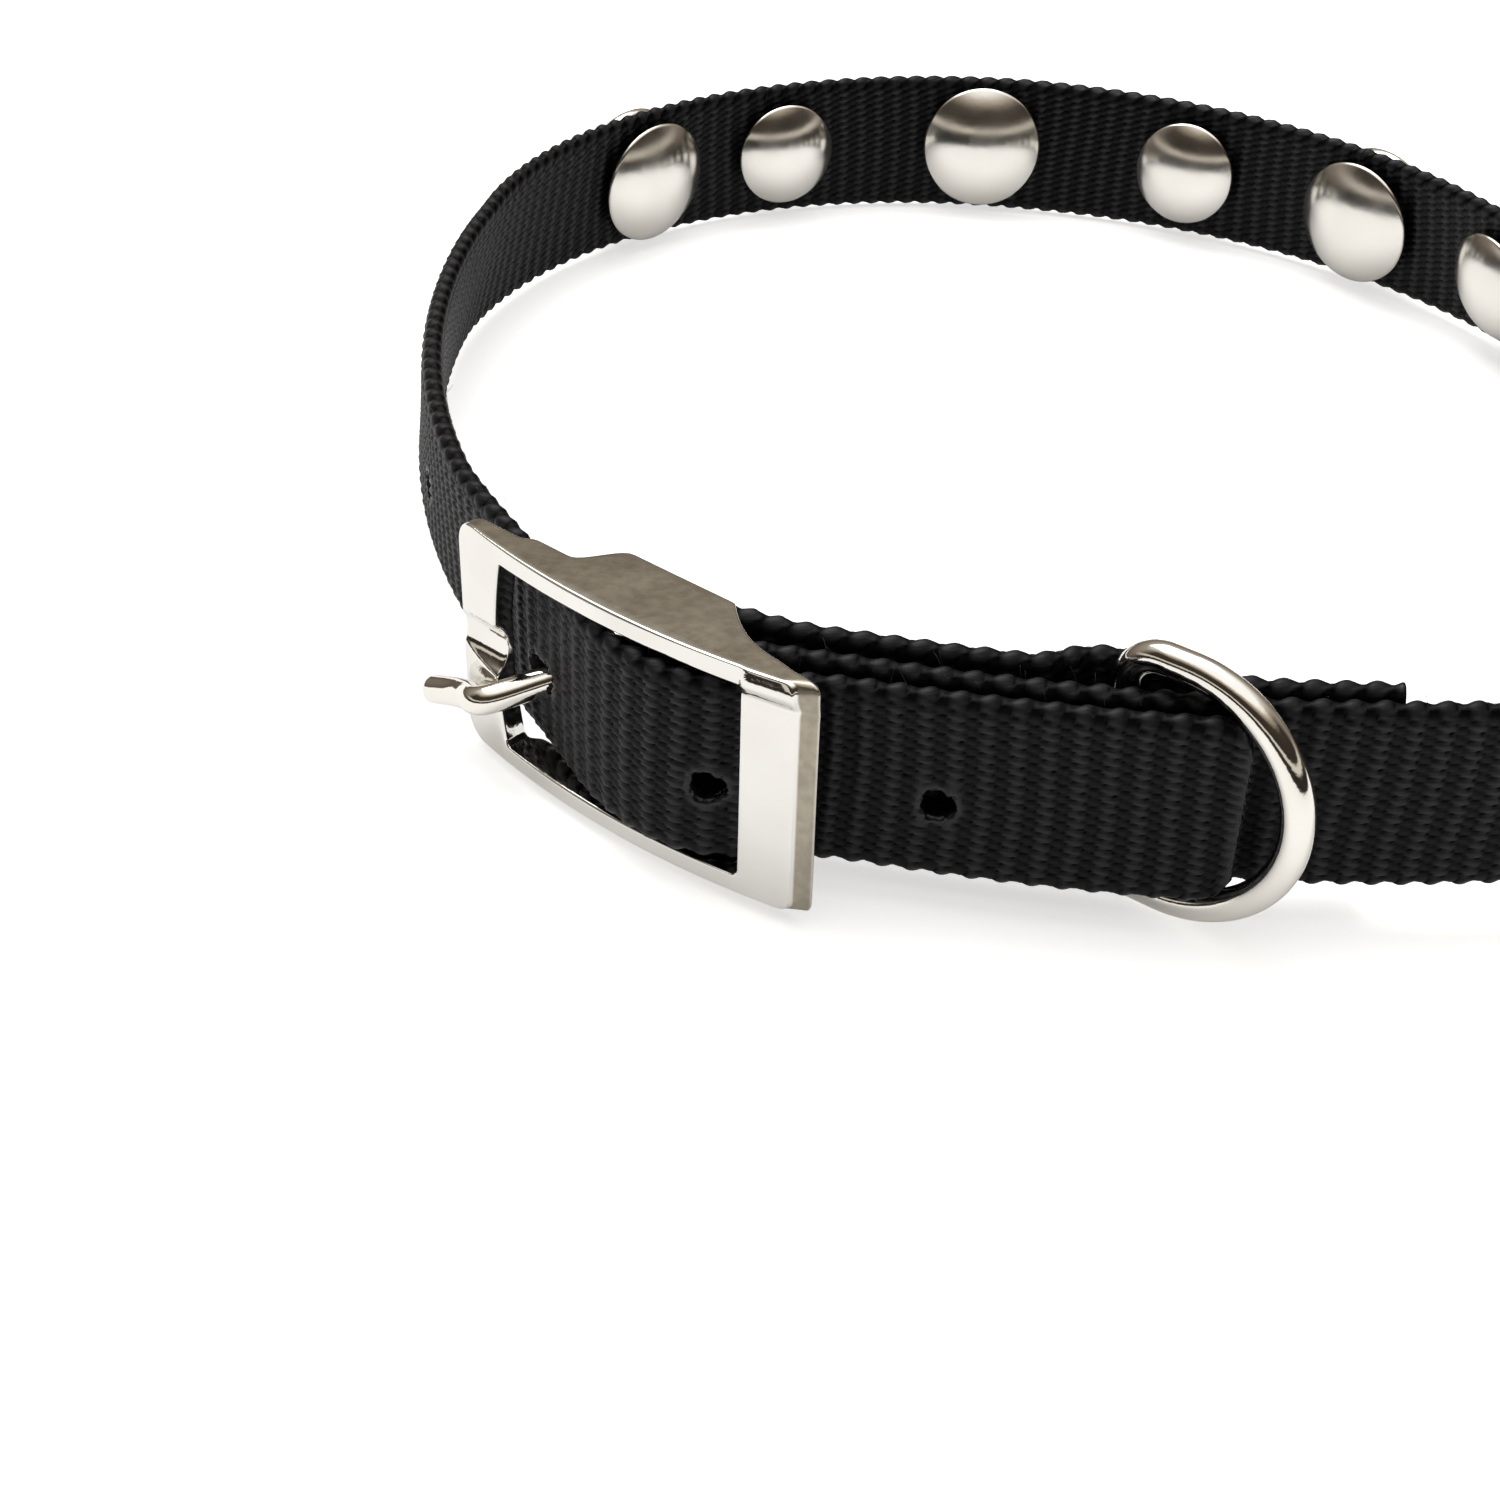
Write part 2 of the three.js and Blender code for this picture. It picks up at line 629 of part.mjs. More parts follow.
rivets.forEach((rivet, i) => {
  const { size } = rivet;
  const bow = ((size.cap / 2) ** 2 * rivet.curvature) / 2;
  const capSeat = webThickness / 2 + barGap + bow;
  const headSeat = webThickness / 2 + barGap;
  const postLength = headSeat + capSeat + 0.4 * size.capHeight;
  const capGroup = placedOnLoop(rivet, capSeat);
  capGroup.add(named(`rivet_cap_${i + 1}`, capGeometry(size), nickel));
  const headGroup = placedOnLoop(rivet, -headSeat);
  headGroup.add(named(`rivet_head_${i + 1}`, headGeometry(size, postLength), nickel));
  collar.add(capGroup, headGroup);
});

// The collar stands on the D-ring's bow at the front and on the strap's edge at the back
collar.rotation.z = buckleYaw;
const standing = new THREE.Group();
standing.add(collar);
standing.updateMatrixWorld(true);
const strapBox = new THREE.Box3().setFromObject(collar.children[0], true);
const ringBox = new THREE.Box3().setFromObject(ring, true);
const ringMiddle = ringBox.getCenter(new THREE.Vector3());
standing.rotation.x = -Math.atan2(strapBox.min.z - ringBox.min.z, strapBox.max.y - ringMiddle.y);

const model = new THREE.Group();
model.add(standing);
model.updateMatrixWorld(true);
const box = new THREE.Box3().setFromObject(model, true);
const middle = box.getCenter(new THREE.Vector3());
standing.position.set(-middle.x, -middle.y, -box.min.z);
model.updateMatrixWorld(true);

export default model;
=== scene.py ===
# A narrow dog collar of black nylon webbing, buckled into a loop and standing on its edge.
# The sections follow the collar as it is put together: strap, stitching, buckle, prong, D-ring, rivets.
import json

import bpy
import numpy as np
from mathutils import Matrix


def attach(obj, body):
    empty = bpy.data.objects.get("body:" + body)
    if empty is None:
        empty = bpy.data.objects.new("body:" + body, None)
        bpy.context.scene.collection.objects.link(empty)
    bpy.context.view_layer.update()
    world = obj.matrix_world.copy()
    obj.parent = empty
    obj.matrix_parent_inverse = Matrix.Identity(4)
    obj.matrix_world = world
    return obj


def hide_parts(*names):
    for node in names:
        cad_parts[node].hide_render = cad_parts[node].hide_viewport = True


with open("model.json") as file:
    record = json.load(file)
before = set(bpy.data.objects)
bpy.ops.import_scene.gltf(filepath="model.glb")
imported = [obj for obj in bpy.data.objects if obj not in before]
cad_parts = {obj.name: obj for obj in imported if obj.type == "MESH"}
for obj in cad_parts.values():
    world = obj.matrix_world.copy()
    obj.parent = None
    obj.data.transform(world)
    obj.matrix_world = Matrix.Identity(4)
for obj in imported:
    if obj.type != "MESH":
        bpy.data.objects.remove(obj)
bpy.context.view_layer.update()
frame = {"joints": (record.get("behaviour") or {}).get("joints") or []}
MM = 0.001


# The course of the strap: from the centre bar of the buckle right round the neck and back to the bar.
# It is a run of arcs, curled by how the stiff webbing was bent when it was buckled, and it leans here
# and there because the collar stands on its edge. All lengths up to the mesh are in millimetres.
WEB_WIDTH = 12.0
WEB_THICKNESS = 1.6
NECK_LOOP = 317.9
TIP_PAST_BAR = 33.5
TIP_LAP_REACH = 60.0
FIT_GAP = 0.3
LAP_GAP = 0.55
BAR_GAP = 0.35
BUCKLE_LENGTH = 26.5
FRONT_BOW = 1.6
BACK_DEPTH = 1.3
PRONG_BAR_BACK = 0.8
PRONG_BAR_WIDTH = 3.7
KEEPER_WIDTH = 3.4
WINDOW_BULGE = 0.8
BAR_RADIUS = 0.8
BAR_X = 1.0
WEB_PROUD = 0.1
CREST_LIFT = 1.6
CREST_LIFT_PAST_BAR = 4.8
CREST_LIFT_REACH = 4.2
CREST_SHARE = 0.81931
RING_WIRE = 1.9
RING_FROM_BAR = 27.0
LAP_LEFT_OPEN = 0.35
POCKET_REACH = 1.6
BUCKLE_YAW = np.radians(-41.5)
STRETCHES = np.array([
    # share of the loop, share of the turning, lean at the end in degrees, takes up what closes the loop
    (0.0301, -0.0011, 0, 0),
    (0.0513, 0.0239, 0, 0),
    (0.0530, 0.0317, 0, 0),
    (0.0994, 0.2169, -3, 0),
    (0.1784, 0.1286, -15, 0),
    (0.1562, 0.1848, 5, 1),
    (0.2049, 0.2947, -15, 0),
    (0.1453, 0.1117, 3, 1),
    (0.0283, 0.0088, 0, 0),
    (0.0315, 0.0, 0, 0),
])

WINDOW_LEFT = -BUCKLE_LENGTH / 2 + PRONG_BAR_WIDTH
WINDOW_RIGHT = BUCKLE_LENGTH / 2 - KEEPER_WIDTH
BAR_Y = BAR_RADIUS + 2 * WEB_THICKNESS + BAR_GAP + LAP_GAP - FRONT_BOW - WEB_PROUD
FOLD_RADIUS = BAR_RADIUS + BAR_GAP + WEB_THICKNESS / 2
TIP_LAP_OFFSET = WEB_THICKNESS + LAP_GAP
RING_POCKET = WEB_THICKNESS + RING_WIRE + 2 * FIT_GAP

reach_to_keeper = WINDOW_RIGHT - BAR_X
reach_to_prong_bar = BAR_X - WINDOW_LEFT - WINDOW_BULGE
drop_to_keeper = FRONT_BOW + WEB_PROUD + BACK_DEPTH + BAR_GAP
drop_to_prong_bar = FRONT_BOW + WEB_PROUD + PRONG_BAR_BACK + BAR_GAP
outer_crest = CREST_SHARE * (reach_to_keeper**2 + drop_to_keeper**2) / (2 * drop_to_keeper)
crest_radius = outer_crest - TIP_LAP_OFFSET - WEB_THICKNESS / 2


def turn_behind(reach, drop):
    """The turn from the crest to where a line from an end of the frame touches the crest's circle: the
    end's bearing at the centre less the angle there between the end and that point."""
    bearing = np.arctan2(reach, outer_crest - drop)
    return bearing - np.arccos(outer_crest / np.hypot(reach, outer_crest - drop))


def arc_step(heading, turn, length):
    """Where an arc leads: along its middle heading, its length shortened by sin(half turn) / half turn."""
    chord = length * np.sinc(turn / 2 / np.pi)
    middle = heading + turn / 2
    return np.stack([chord * np.cos(middle), chord * np.sin(middle)], -1)


crest_turns = np.array([
    turn_behind(reach_to_keeper, drop_to_keeper),
    turn_behind(reach_to_prong_bar, drop_to_prong_bar),
])
round_turn = 2 * np.pi - crest_turns.sum()
turns = np.concatenate([crest_turns[:1], STRETCHES[:, 1] * round_turn, crest_turns[1:]])
lengths = np.concatenate([
    crest_turns[:1] * crest_radius, STRETCHES[:, 0] * NECK_LOOP, crest_turns[1:] * crest_radius,
])
leans = np.radians(np.concatenate([[0], STRETCHES[:, 2], [0]]))
leans_before = np.concatenate([[0], leans[:-1]])
headings = np.cumsum(turns) - turns
closing = np.concatenate([[False], STRETCHES[:, 3] > 0, [False]])
held = arc_step(headings, turns, np.where(closing, 0, lengths)).sum(0)
lengths[closing] = np.linalg.solve(arc_step(headings, turns, np.ones(len(turns)))[closing].T, -held)
first_places = np.cumsum(lengths) - lengths
steps = arc_step(headings, turns, lengths)
arc_starts = np.array([BAR_X, BAR_Y - FOLD_RADIUS]) + np.cumsum(steps, 0) - steps
loop_length = lengths.sum()
bar_crest = loop_length - lengths[-1]


def on_loop(along, inward=0.0):
    """The strap's middle line at distances from the bar: each point, its heading, tangent, inside and up.
    The inside is square to the tangent, tipped about it by the lean, and up is tangent x inside."""
    along = np.atleast_1d(np.asarray(along, float))
    place = np.mod(along, loop_length)
    arc = np.searchsorted(first_places, place + 1e-9, side="right") - 1
    part = (place - first_places[arc]) / lengths[arc]
    heading = headings[arc] + turns[arc] * part
    flat = arc_starts[arc] + arc_step(headings[arc], turns[arc] * part, place - first_places[arc])
    lean = leans_before[arc] + (leans[arc] - leans_before[arc]) * part
    none = np.zeros_like(heading)
    tangent = np.stack([np.cos(heading), np.sin(heading), none], -1)
    level = np.stack([-np.sin(heading), np.cos(heading), none], -1)
    upright = np.array([0, 0, 1.0])
    inside = level * np.cos(lean)[:, None] + upright * np.sin(lean)[:, None]
    up = upright * np.cos(lean)[:, None] - level * np.sin(lean)[:, None]
    point = np.concatenate([flat, none[:, None]], 1) + inside * np.asarray(inward)[..., None]
    return point, heading, tangent, inside, up


def ease(x, low, high):
    """A smooth rise from 0 to 1 between low and high: 6t^5 - 15t^4 + 10t^3."""
    t = np.clip((x - low) / (high - low), 0, 1)
    return t**3 * (t * (6 * t - 15) + 10)


def sewn_lap_inset(along):
    """How far inside the main lap the sewn lap lies: round the bar, closer over the first two fifths of
    the way to the ring, round the ring in a pocket that opens steeply and closes gently, then closed."""
    closed = WEB_THICKNESS + FIT_GAP
    eased = closed + LAP_LEFT_OPEN * RING_WIRE
    closing_in = ease(along, 0.02 * RING_FROM_BAR, 0.4 * RING_FROM_BAR)
    from_bar = eased + (2 * FOLD_RADIUS - eased) * (1 - closing_in)
    reach = POCKET_REACH * RING_WIRE
    rise = ease(along, RING_FROM_BAR - 2 * reach, RING_FROM_BAR - 0.4 * reach)
    fall = ease(along, RING_FROM_BAR + 0.4 * reach, RING_FROM_BAR + 2.6 * reach)
    before = from_bar + (RING_POCKET - from_bar) * rise
    return before + (closed - before) * fall


def tip_lap_rise(along):
    """How far outside the main lap the strap comes to lie as it reaches the bar and goes on to its tip.
    In the buckle's window it bulges forward a little more, in a low bell."""
    from_lift = (along - loop_length - CREST_LIFT_PAST_BAR) / CREST_LIFT_REACH
    lifted = CREST_LIFT * np.exp(-(from_lift**2))
    return TIP_LAP_OFFSET * ease(along, bar_crest - TIP_LAP_REACH, bar_crest) + lifted


# The collar's own axes in the room: X along the buckle, Y to the inside, Z up the webbing. The D-ring's
# hinge, which the frame gives, fixes where they are.
hinge = frame["joints"][0]
tilt = -np.arcsin(hinge["axis"][1])
turn_yaw = np.array([
    [np.cos(BUCKLE_YAW), -np.sin(BUCKLE_YAW), 0],
    [np.sin(BUCKLE_YAW), np.cos(BUCKLE_YAW), 0],
    [0, 0, 1],
])
turn_tilt = np.array([
    [1, 0, 0],
    [0, np.cos(tilt), -np.sin(tilt)],
    [0, np.sin(tilt), np.cos(tilt)],
])
collar_axes = turn_tilt @ turn_yaw
ring_inset = WEB_THICKNESS / 2 + FIT_GAP + RING_WIRE / 2
ring_place, ring_heading = (part[0] for part in on_loop(RING_FROM_BAR, ring_inset)[:2])
collar_origin = np.array(hinge["pos_m"]) - collar_axes @ ring_place * MM


def in_room(points):
    """Points of the collar's own axes in millimetres, as places in the room in metres."""
    return points @ collar_axes.T * MM + collar_origin


# The camera: it stands in front of the buckle side and looks down into the loop, level but for a slight
# roll. Its place, pitch and lens were fitted to the edges of the strap and to the caps of the rivets.
CAMERA_PLACE = np.array([7.55, -104.604, 68.76])
CAMERA_PITCH = np.radians(34.3)
CAMERA_ROLL = np.radians(-1.5)
LENS = 52.8
right = np.array([1.0, 0, 0])
down = np.array([0, -np.sin(CAMERA_PITCH), -np.cos(CAMERA_PITCH)])
forward = np.array([0, np.cos(CAMERA_PITCH), -np.sin(CAMERA_PITCH)])
rolled_right = right * np.cos(CAMERA_ROLL) + down * np.sin(CAMERA_ROLL)
rolled_down = down * np.cos(CAMERA_ROLL) - right * np.sin(CAMERA_ROLL)
camera_data = bpy.data.cameras.new("camera")
camera_data.lens = LENS
camera_data.sensor_width = 36
camera_data.clip_start = 0.01
camera = bpy.data.objects.new("camera", camera_data)
bpy.context.scene.collection.objects.link(camera)
camera_turn = turn_tilt @ np.stack([rolled_right, -rolled_down, -forward], 1)
camera.matrix_world = Matrix.LocRotScale(
    collar_origin + turn_tilt @ CAMERA_PLACE * MM, Matrix(camera_turn).to_quaternion(), None
)
bpy.context.scene.camera = camera


# The webbing: 12 mm flat nylon, woven black, one band from its sewn end over the centre bar, round the
# neck and out to its rounded tip. Its floats lie in staggered columns, and its two edges are knotted by
# the turning weft. The adjusting holes are melted through, so they have hard shiny rims.
COLUMN_PITCH = 1.67
FLOATS_ACROSS = 20
FLOAT_HALF_LENGTH = 0.66
FLOAT_NARROWING = 0.85
FLOAT_SKEW = 0.12
LOW_FLOAT = 0.62
FLOAT_RELIEF = 0.34
MIDDLE_RELIEF = 0.6
COLUMN_WANDER = 0.14
WANDER_ALONG = 0.11
WANDER_ACROSS = 0.4
EDGE_WRAP = 0.4
EDGE_LIFT = 0.25
EDGE_KNOT = 0.24
KNOT_SWELL = 0.22
FOLD_BACK = 42.0
TIP_CORNER = 1.9
TIP_CORNER_SHARE = 0.985
EDGE_DEPTH = 0.75
STEPS_PER_COLUMN = 9
STEPS_PER_FLOAT = 3
EDGE_STEPS = 8
HOLE_DIAMETER = 2.0
HOLE_DROP = 1.0
HOLE_PITCH = 12.5
PRONG_HOLE_PAST_BAR = -7.4
PRONG_HOLE_LENGTH = 3.4
PRONG_SLOT_HEIGHT = 3.6
PRONG_SLOT_REACH = 3.25
RIM_MELT = 0.3
RIM_WOBBLE = 0.07
RIM_NICKS = 0.04
END_MELT = 0.35
MELT_PROUD = 0.08
MELT_LUMPS = 0.09
LUMPS_ALONG = 9.3
LUMPS_ACROSS = 8.1
# Painted glint: how far the melted rims are lifted to the lightest colour and the most specular of the
# webbing
MELT_PAINTED_GLINT = 1.2
HOLE_FROM_JOIN = 4


def grid_quads(rows, columns, closed_rows=False, closed_columns=False):
    """The quads of a grid of points, row by row: each joins a point to the next along both ways."""
    i = np.arange(rows if closed_rows else rows - 1)[:, None]
    j = np.arange(columns if closed_columns else columns - 1)[None, :]
    next_i = (i + 1) % rows
    next_j = (j + 1) % columns
    corners = [i * columns + j, next_i * columns + j, next_i * columns + next_j, i * columns + next_j]
    return np.stack(np.broadcast_arrays(*corners), -1)


def outward(points, faces):
    """The faces turned to point outwards: all the other way round where the volume under them is negative."""
    volume = 0.0
    for part in faces:
        around = points[part]
        for k in range(1, part.shape[1] - 1):
            volume += np.einsum("ij,ij->", around[:, 0], np.cross(around[:, k], around[:, k + 1]))
    return [part[:, ::-1] for part in faces] if volume < 0 else faces


def add_piece(name, points, faces, finish, body, replaced=(), uv=None, masks=None):
    """A closed mesh from points in the collar's axes and its faces, put in the room and on its body."""
    used, spots = np.unique(np.concatenate([part.ravel() for part in faces]), return_inverse=True)
    corners = spots.ravel()
    sizes = np.concatenate([np.full(len(part), part.shape[1]) for part in faces])
    mesh = bpy.data.meshes.new(name)
    mesh.vertices.add(len(used))
    mesh.vertices.foreach_set("co", in_room(points[used]).ravel())
    mesh.loops.add(len(corners))
    mesh.loops.foreach_set("vertex_index", corners.astype(np.int32))
    mesh.polygons.add(len(sizes))
    mesh.polygons.foreach_set("loop_start", (np.cumsum(sizes) - sizes).astype(np.int32))
    mesh.update(calc_edges=True)
    mesh.polygons.foreach_set("use_smooth", np.ones(len(sizes), bool))
    if uv is not None:
        layer = mesh.uv_layers.new(name="along_and_across")
        layer.data.foreach_set("uv", uv[used][corners].astype(np.float32).ravel())
    for mask, values in (masks or {}).items():
        attribute = mesh.attributes.new(mask, "FLOAT", "POINT")
        attribute.data.foreach_set("value", values[used].astype(np.float32))
    mesh.materials.append(finish)
    piece = bpy.data.objects.new(name, mesh)
    bpy.context.scene.collection.objects.link(piece)
    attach(piece, body)
    if replaced:
        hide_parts(*replaced)
    return piece


# The middle line in order: sewn lap, half circle over the bar, loop and tip lap, measured along itself
lap_places = np.arange(FOLD_BACK, 0, -0.1)
lap_line = on_loop(lap_places, sewn_lap_inset(lap_places))
fold_angles = np.linspace(0, np.pi, 62)[1:-1, None]
fold_line = np.array([BAR_X, BAR_Y, 0]) + FOLD_RADIUS * np.concatenate(
    [-np.sin(fold_angles), np.cos(fold_angles), np.zeros_like(fold_angles)], 1
)
loop_places = np.arange(0, loop_length + TIP_PAST_BAR, 0.1)
loop_line = on_loop(loop_places, -tip_lap_rise(loop_places))
line = np.concatenate([lap_line[0], fold_line, loop_line[0]])
line_up = np.concatenate([lap_line[4], np.tile([0, 0, 1.0], (len(fold_line), 1)), loop_line[4]])
line_tangent = np.gradient(line, axis=0)
line_tangent /= np.linalg.norm(line_tangent, axis=1)[:, None]
line_face = np.cross(line_tangent, line_up)
line_face /= np.linalg.norm(line_face, axis=1)[:, None]
line_up = np.cross(line_face, line_tangent)
line_along = np.concatenate([[0], np.cumsum(np.linalg.norm(np.diff(line, axis=0), axis=1))])
band_length = line_along[-1]
band_at_bar = line_along[len(lap_places) + len(fold_line)]


def band_place(along_loop):
    """The distance along the whole band of a distance along the loop."""
    return np.interp(along_loop, loop_places, line_along[-len(loop_places):])


def on_band(along):
    """The band's middle line, outward face and up, at distances along it."""
    def read(values):
        return np.stack([np.interp(along, line_along, values[:, k]) for k in range(3)], -1)
    return read(line), read(line_face), read(line_up)


FLOAT_PITCH = WEB_WIDTH / FLOATS_ACROSS


def float_relief(along, across):
    """The height, 0 to 1, of the floats: high and low columns of ovals take turns, the low ones half an
    oval higher up, and neighbours interlock. The columns wander a little. The higher float shows."""
    wander = COLUMN_WANDER * np.sin(WANDER_ACROSS * across + WANDER_ALONG * along)
    place = (along + wander) / (COLUMN_PITCH / 2)
    nearest = np.round(place)
    beside = nearest + np.where(place > nearest, 1, -1)
    heights = []
    for column in (nearest, beside):
        is_low = np.mod(column, 2)
        reach = (place - column) * (COLUMN_PITCH / 2) / FLOAT_HALF_LENGTH
        shifted = (across + FLOAT_SKEW * reach) / FLOAT_PITCH + 0.5 * is_low
        off = 2 * (shifted - np.round(shifted))
        oval = np.sqrt(np.clip(1 - reach**2 - FLOAT_NARROWING * off**2, 0, 1))
        heights.append(oval * (1 - (1 - LOW_FLOAT) * is_low))
    return np.maximum(*heights)


face_half = WEB_WIDTH / 2 - EDGE_DEPTH - EDGE_KNOT / 2
face_steps = FLOATS_ACROSS * STEPS_PER_FLOAT
face_across = np.linspace(-face_half, face_half, face_steps + 1)
edge_turn = np.linspace(0, np.pi, EDGE_STEPS + 1)[1:-1]
base_half = WEB_THICKNESS / 2 - (1 - MIDDLE_RELIEF) * FLOAT_RELIEF
# The section, once round: outward face going up, top edge, inward face going down, bottom edge
section_across = np.concatenate([
    face_across, face_half + EDGE_DEPTH * np.sin(edge_turn),
    face_across[::-1], -face_half - EDGE_DEPTH * np.sin(edge_turn),
])
section_depth = np.concatenate([
    np.full(face_steps + 1, base_half), base_half * np.cos(edge_turn),
    np.full(face_steps + 1, -base_half), -base_half * np.cos(edge_turn),
])
is_edge = np.abs(section_across) > face_half + 1e-6
section_turn = np.concatenate([
    np.zeros(face_steps + 1), edge_turn, np.full(face_steps + 1, np.pi), np.pi + edge_turn,
])
section_round = len(section_across)
mirror = (2 * face_steps + EDGE_STEPS - np.arange(section_round)) % section_round

holes = [
    {"past_bar": PRONG_HOLE_PAST_BAR + (2 - i) * HOLE_PITCH, "length": HOLE_DIAMETER, "width": HOLE_DIAMETER}
    for i in range(5)
]
holes[2]["length"] = PRONG_HOLE_LENGTH


def web_piece(name, from_along, to_along, replaced=()):
    """One length of the band. Grid points run along it and once round its section. At a hole the faces
    of a block of the grid are left out, the block's outline is drawn onto the hole's outline, and a
    wall joins the two faces' outlines."""
    step = COLUMN_PITCH / STEPS_PER_COLUMN
    count = int(np.round((to_along - from_along) / step)) + 1
    along = np.linspace(from_along, to_along, count)[:, None] + np.zeros(section_round)
    tip_left = np.clip((along - (band_length - TIP_CORNER)) / TIP_CORNER, 0, 1)
    corner_left = np.sqrt(1 - np.minimum(tip_left, TIP_CORNER_SHARE) ** 2)
    narrowed = 1 - TIP_CORNER * (1 - corner_left) / (WEB_WIDTH / 2)
    across = section_across * narrowed
    melt = np.exp(-(np.minimum(along, band_length - along) / END_MELT) ** 2)
    quads = grid_quads(count, section_round, closed_columns=True)
    kept = np.ones(quads.shape[:2], bool)
    walls = []

    def cut(i0, i1, j0, j1):
        """Leaves out a block on both faces and joins the two outlines by a wall."""
        kept[i0:i1, j0:j1] = False
        back = 2 * face_steps + EDGE_STEPS
        kept[i0:i1, back - j1:back - j0] = False
        rows_on, rows_back = np.arange(i0, i1), np.arange(i1, i0, -1)
        lines_up, lines_down = np.arange(j0, j1), np.arange(j1, j0, -1)
        rows = np.concatenate([rows_on, np.full(j1 - j0, i1), rows_back, np.full(j1 - j0, i0)])
        lines = np.concatenate([np.full(i1 - i0, j0), lines_up, np.full(i1 - i0, j1), lines_down])
        front = rows * section_round + lines
        behind = rows * section_round + mirror[lines]
        walls.append(np.stack([front, np.roll(front, -1), np.roll(behind, -1), behind], 1))

    for hole in holes:
        middle = band_place(loop_length + hole["past_bar"])
        radius = hole["width"] / 2
        spine = (hole["length"] - hole["width"]) / 2
        if not from_along + HOLE_FROM_JOIN < middle < to_along - HOLE_FROM_JOIN:
            continue
        i0, i1 = (int(np.round((middle + side * hole["length"] / 2 - from_along) / step)) for side in (-1, 1))
        j0 = int(np.searchsorted(face_across, -radius - HOLE_DROP)) - 1
        j1 = int(np.searchsorted(face_across, radius - HOLE_DROP))
        cut(i0, i1, j0, j1)
        x = along - middle
        z = across + HOLE_DROP
        beyond = x - np.clip(x, -spine, spine)
        left_edge = middle - along[i0, 0] - spine
        right_edge = along[i1, 0] - middle - spine
        ratio = np.maximum(
            np.where(beyond > 0, beyond / right_edge, -beyond / left_edge),
            np.where(z > 0, z / (face_across[j1] + HOLE_DROP), z / (face_across[j0] + HOLE_DROP)),
        )
        from_spine = np.maximum(np.hypot(beyond, z), 1e-6)
        bearing = np.arctan2(z, beyond)
        ragged = radius * (
            1 + RIM_WOBBLE * np.sin(3 * bearing + middle) + RIM_NICKS * np.sin(7 * bearing + 2 * middle)
        )
        fade = np.clip(2 - ratio, 0, 1)
        stays = is_edge | (ratio < 0.99)
        moved = np.where(stays, 0, (from_spine / np.maximum(ratio, 1e-6) - ragged) * fade)
        away = from_spine - moved
        along = along - beyond * moved / from_spine
        across = across - z * moved / from_spine
        rim_melt = np.exp(-(np.maximum(away - ragged, 0) / RIM_MELT) ** 2)
        melt = np.maximum(melt, np.where(is_edge, 0, rim_melt))

    slot_from = band_at_bar - np.pi * FOLD_RADIUS - PRONG_SLOT_REACH
    slot_to = band_at_bar + PRONG_SLOT_REACH
    if from_along < slot_from and slot_to < to_along:
        i0, i1 = (int(np.round((end - from_along) / step)) for end in (slot_from, slot_to))
        j0 = int(np.round((face_half - PRONG_SLOT_HEIGHT / 2) / (2 * face_half) * face_steps))
        cut(i0, i1, j0, face_steps - j0)

    edge_across = np.sign(section_across) * (face_half + EDGE_WRAP * np.sin(section_turn))
    woven = float_relief(along, np.where(is_edge, edge_across, across))
    knots = 0.5 + 0.5 * np.cos(2 * np.pi * (along / COLUMN_PITCH + 0.5 * np.cos(section_turn)))
    lumps = MELT_PROUD + MELT_LUMPS * np.sin(LUMPS_ALONG * along) * np.sin(LUMPS_ACROSS * across)
    lift = FLOAT_RELIEF * (woven - MIDDLE_RELIEF) * (1 - melt) + lumps * melt
    face_sign = np.where(section_depth >= 0, 1, -1)
    depth = section_depth + np.where(is_edge, np.cos(section_turn) * lift, face_sign * lift)
    edge_share = np.abs(np.sin(section_turn)) * is_edge
    spread = EDGE_KNOT * (np.sqrt(knots) - 0.5) + EDGE_LIFT * lift
    across = across + np.sign(section_across) * edge_share * spread
    depth = depth * (1 + KNOT_SWELL * edge_share * (knots - 0.5))
    middle_line, face_way, up_way = on_band(along.ravel())
    points = middle_line + face_way * depth.ravel()[:, None] + up_way * across.ravel()[:, None]
    half = np.arange(-EDGE_STEPS // 2, face_steps + EDGE_STEPS // 2)
    caps = np.stack([half, half + 1, mirror[(half + 1) % section_round], mirror[half % section_round]], 1)
    caps = caps % section_round
    last = (count - 1) * section_round
    flat_caps = np.concatenate([caps[1:-1], caps[1:-1, ::-1] + last])
    first_tips = np.array([caps[0, [0, 1, 2]], caps[-1, [0, 1, 3]]])
    tips = np.concatenate([first_tips, first_tips[:, ::-1] + last])
    body = quads[kept].reshape(-1, 4)
    # A mask for painted shade and a painted glint: low in the valleys of the weave, high on the float tops,
    # full on the melted rims
    painted_shade_and_glint = np.clip(woven * (1 - melt) + MELT_PAINTED_GLINT * melt, 0, 1)
    faces = outward(points, [np.concatenate([body, flat_caps] + walls), tips])
    return add_piece(
        name, points, faces, webbing, "collar", replaced,
        uv=np.stack([along.ravel(), across.ravel()], 1),
        masks={"painted_shade_and_glint": painted_shade_and_glint.ravel(), "melt": melt.ravel()},
    )


def new_finish(name):
    """An empty node material and its shader."""
    finish = bpy.data.materials.new(name)
    finish.use_nodes = True
    return finish, finish.node_tree.nodes, finish.node_tree.links, finish.node_tree.nodes["Principled BSDF"]


def new_node(nodes, kind, settings):
    """A new node with some of its inputs set."""
    made = nodes.new(kind)
    for label, value in settings.items():
        made.inputs[label].default_value = value
    return made


def ramp_between(nodes, stops):
    """A colour ramp with stops of (position, colour)."""
    ramp = nodes.new("ShaderNodeValToRGB")
    while len(ramp.color_ramp.elements) < len(stops):
        ramp.color_ramp.elements.new(0.5)
    for element, (position, colour) in zip(ramp.color_ramp.elements, stops):
        element.position = position
        element.color = (*colour, 1)
    return ramp


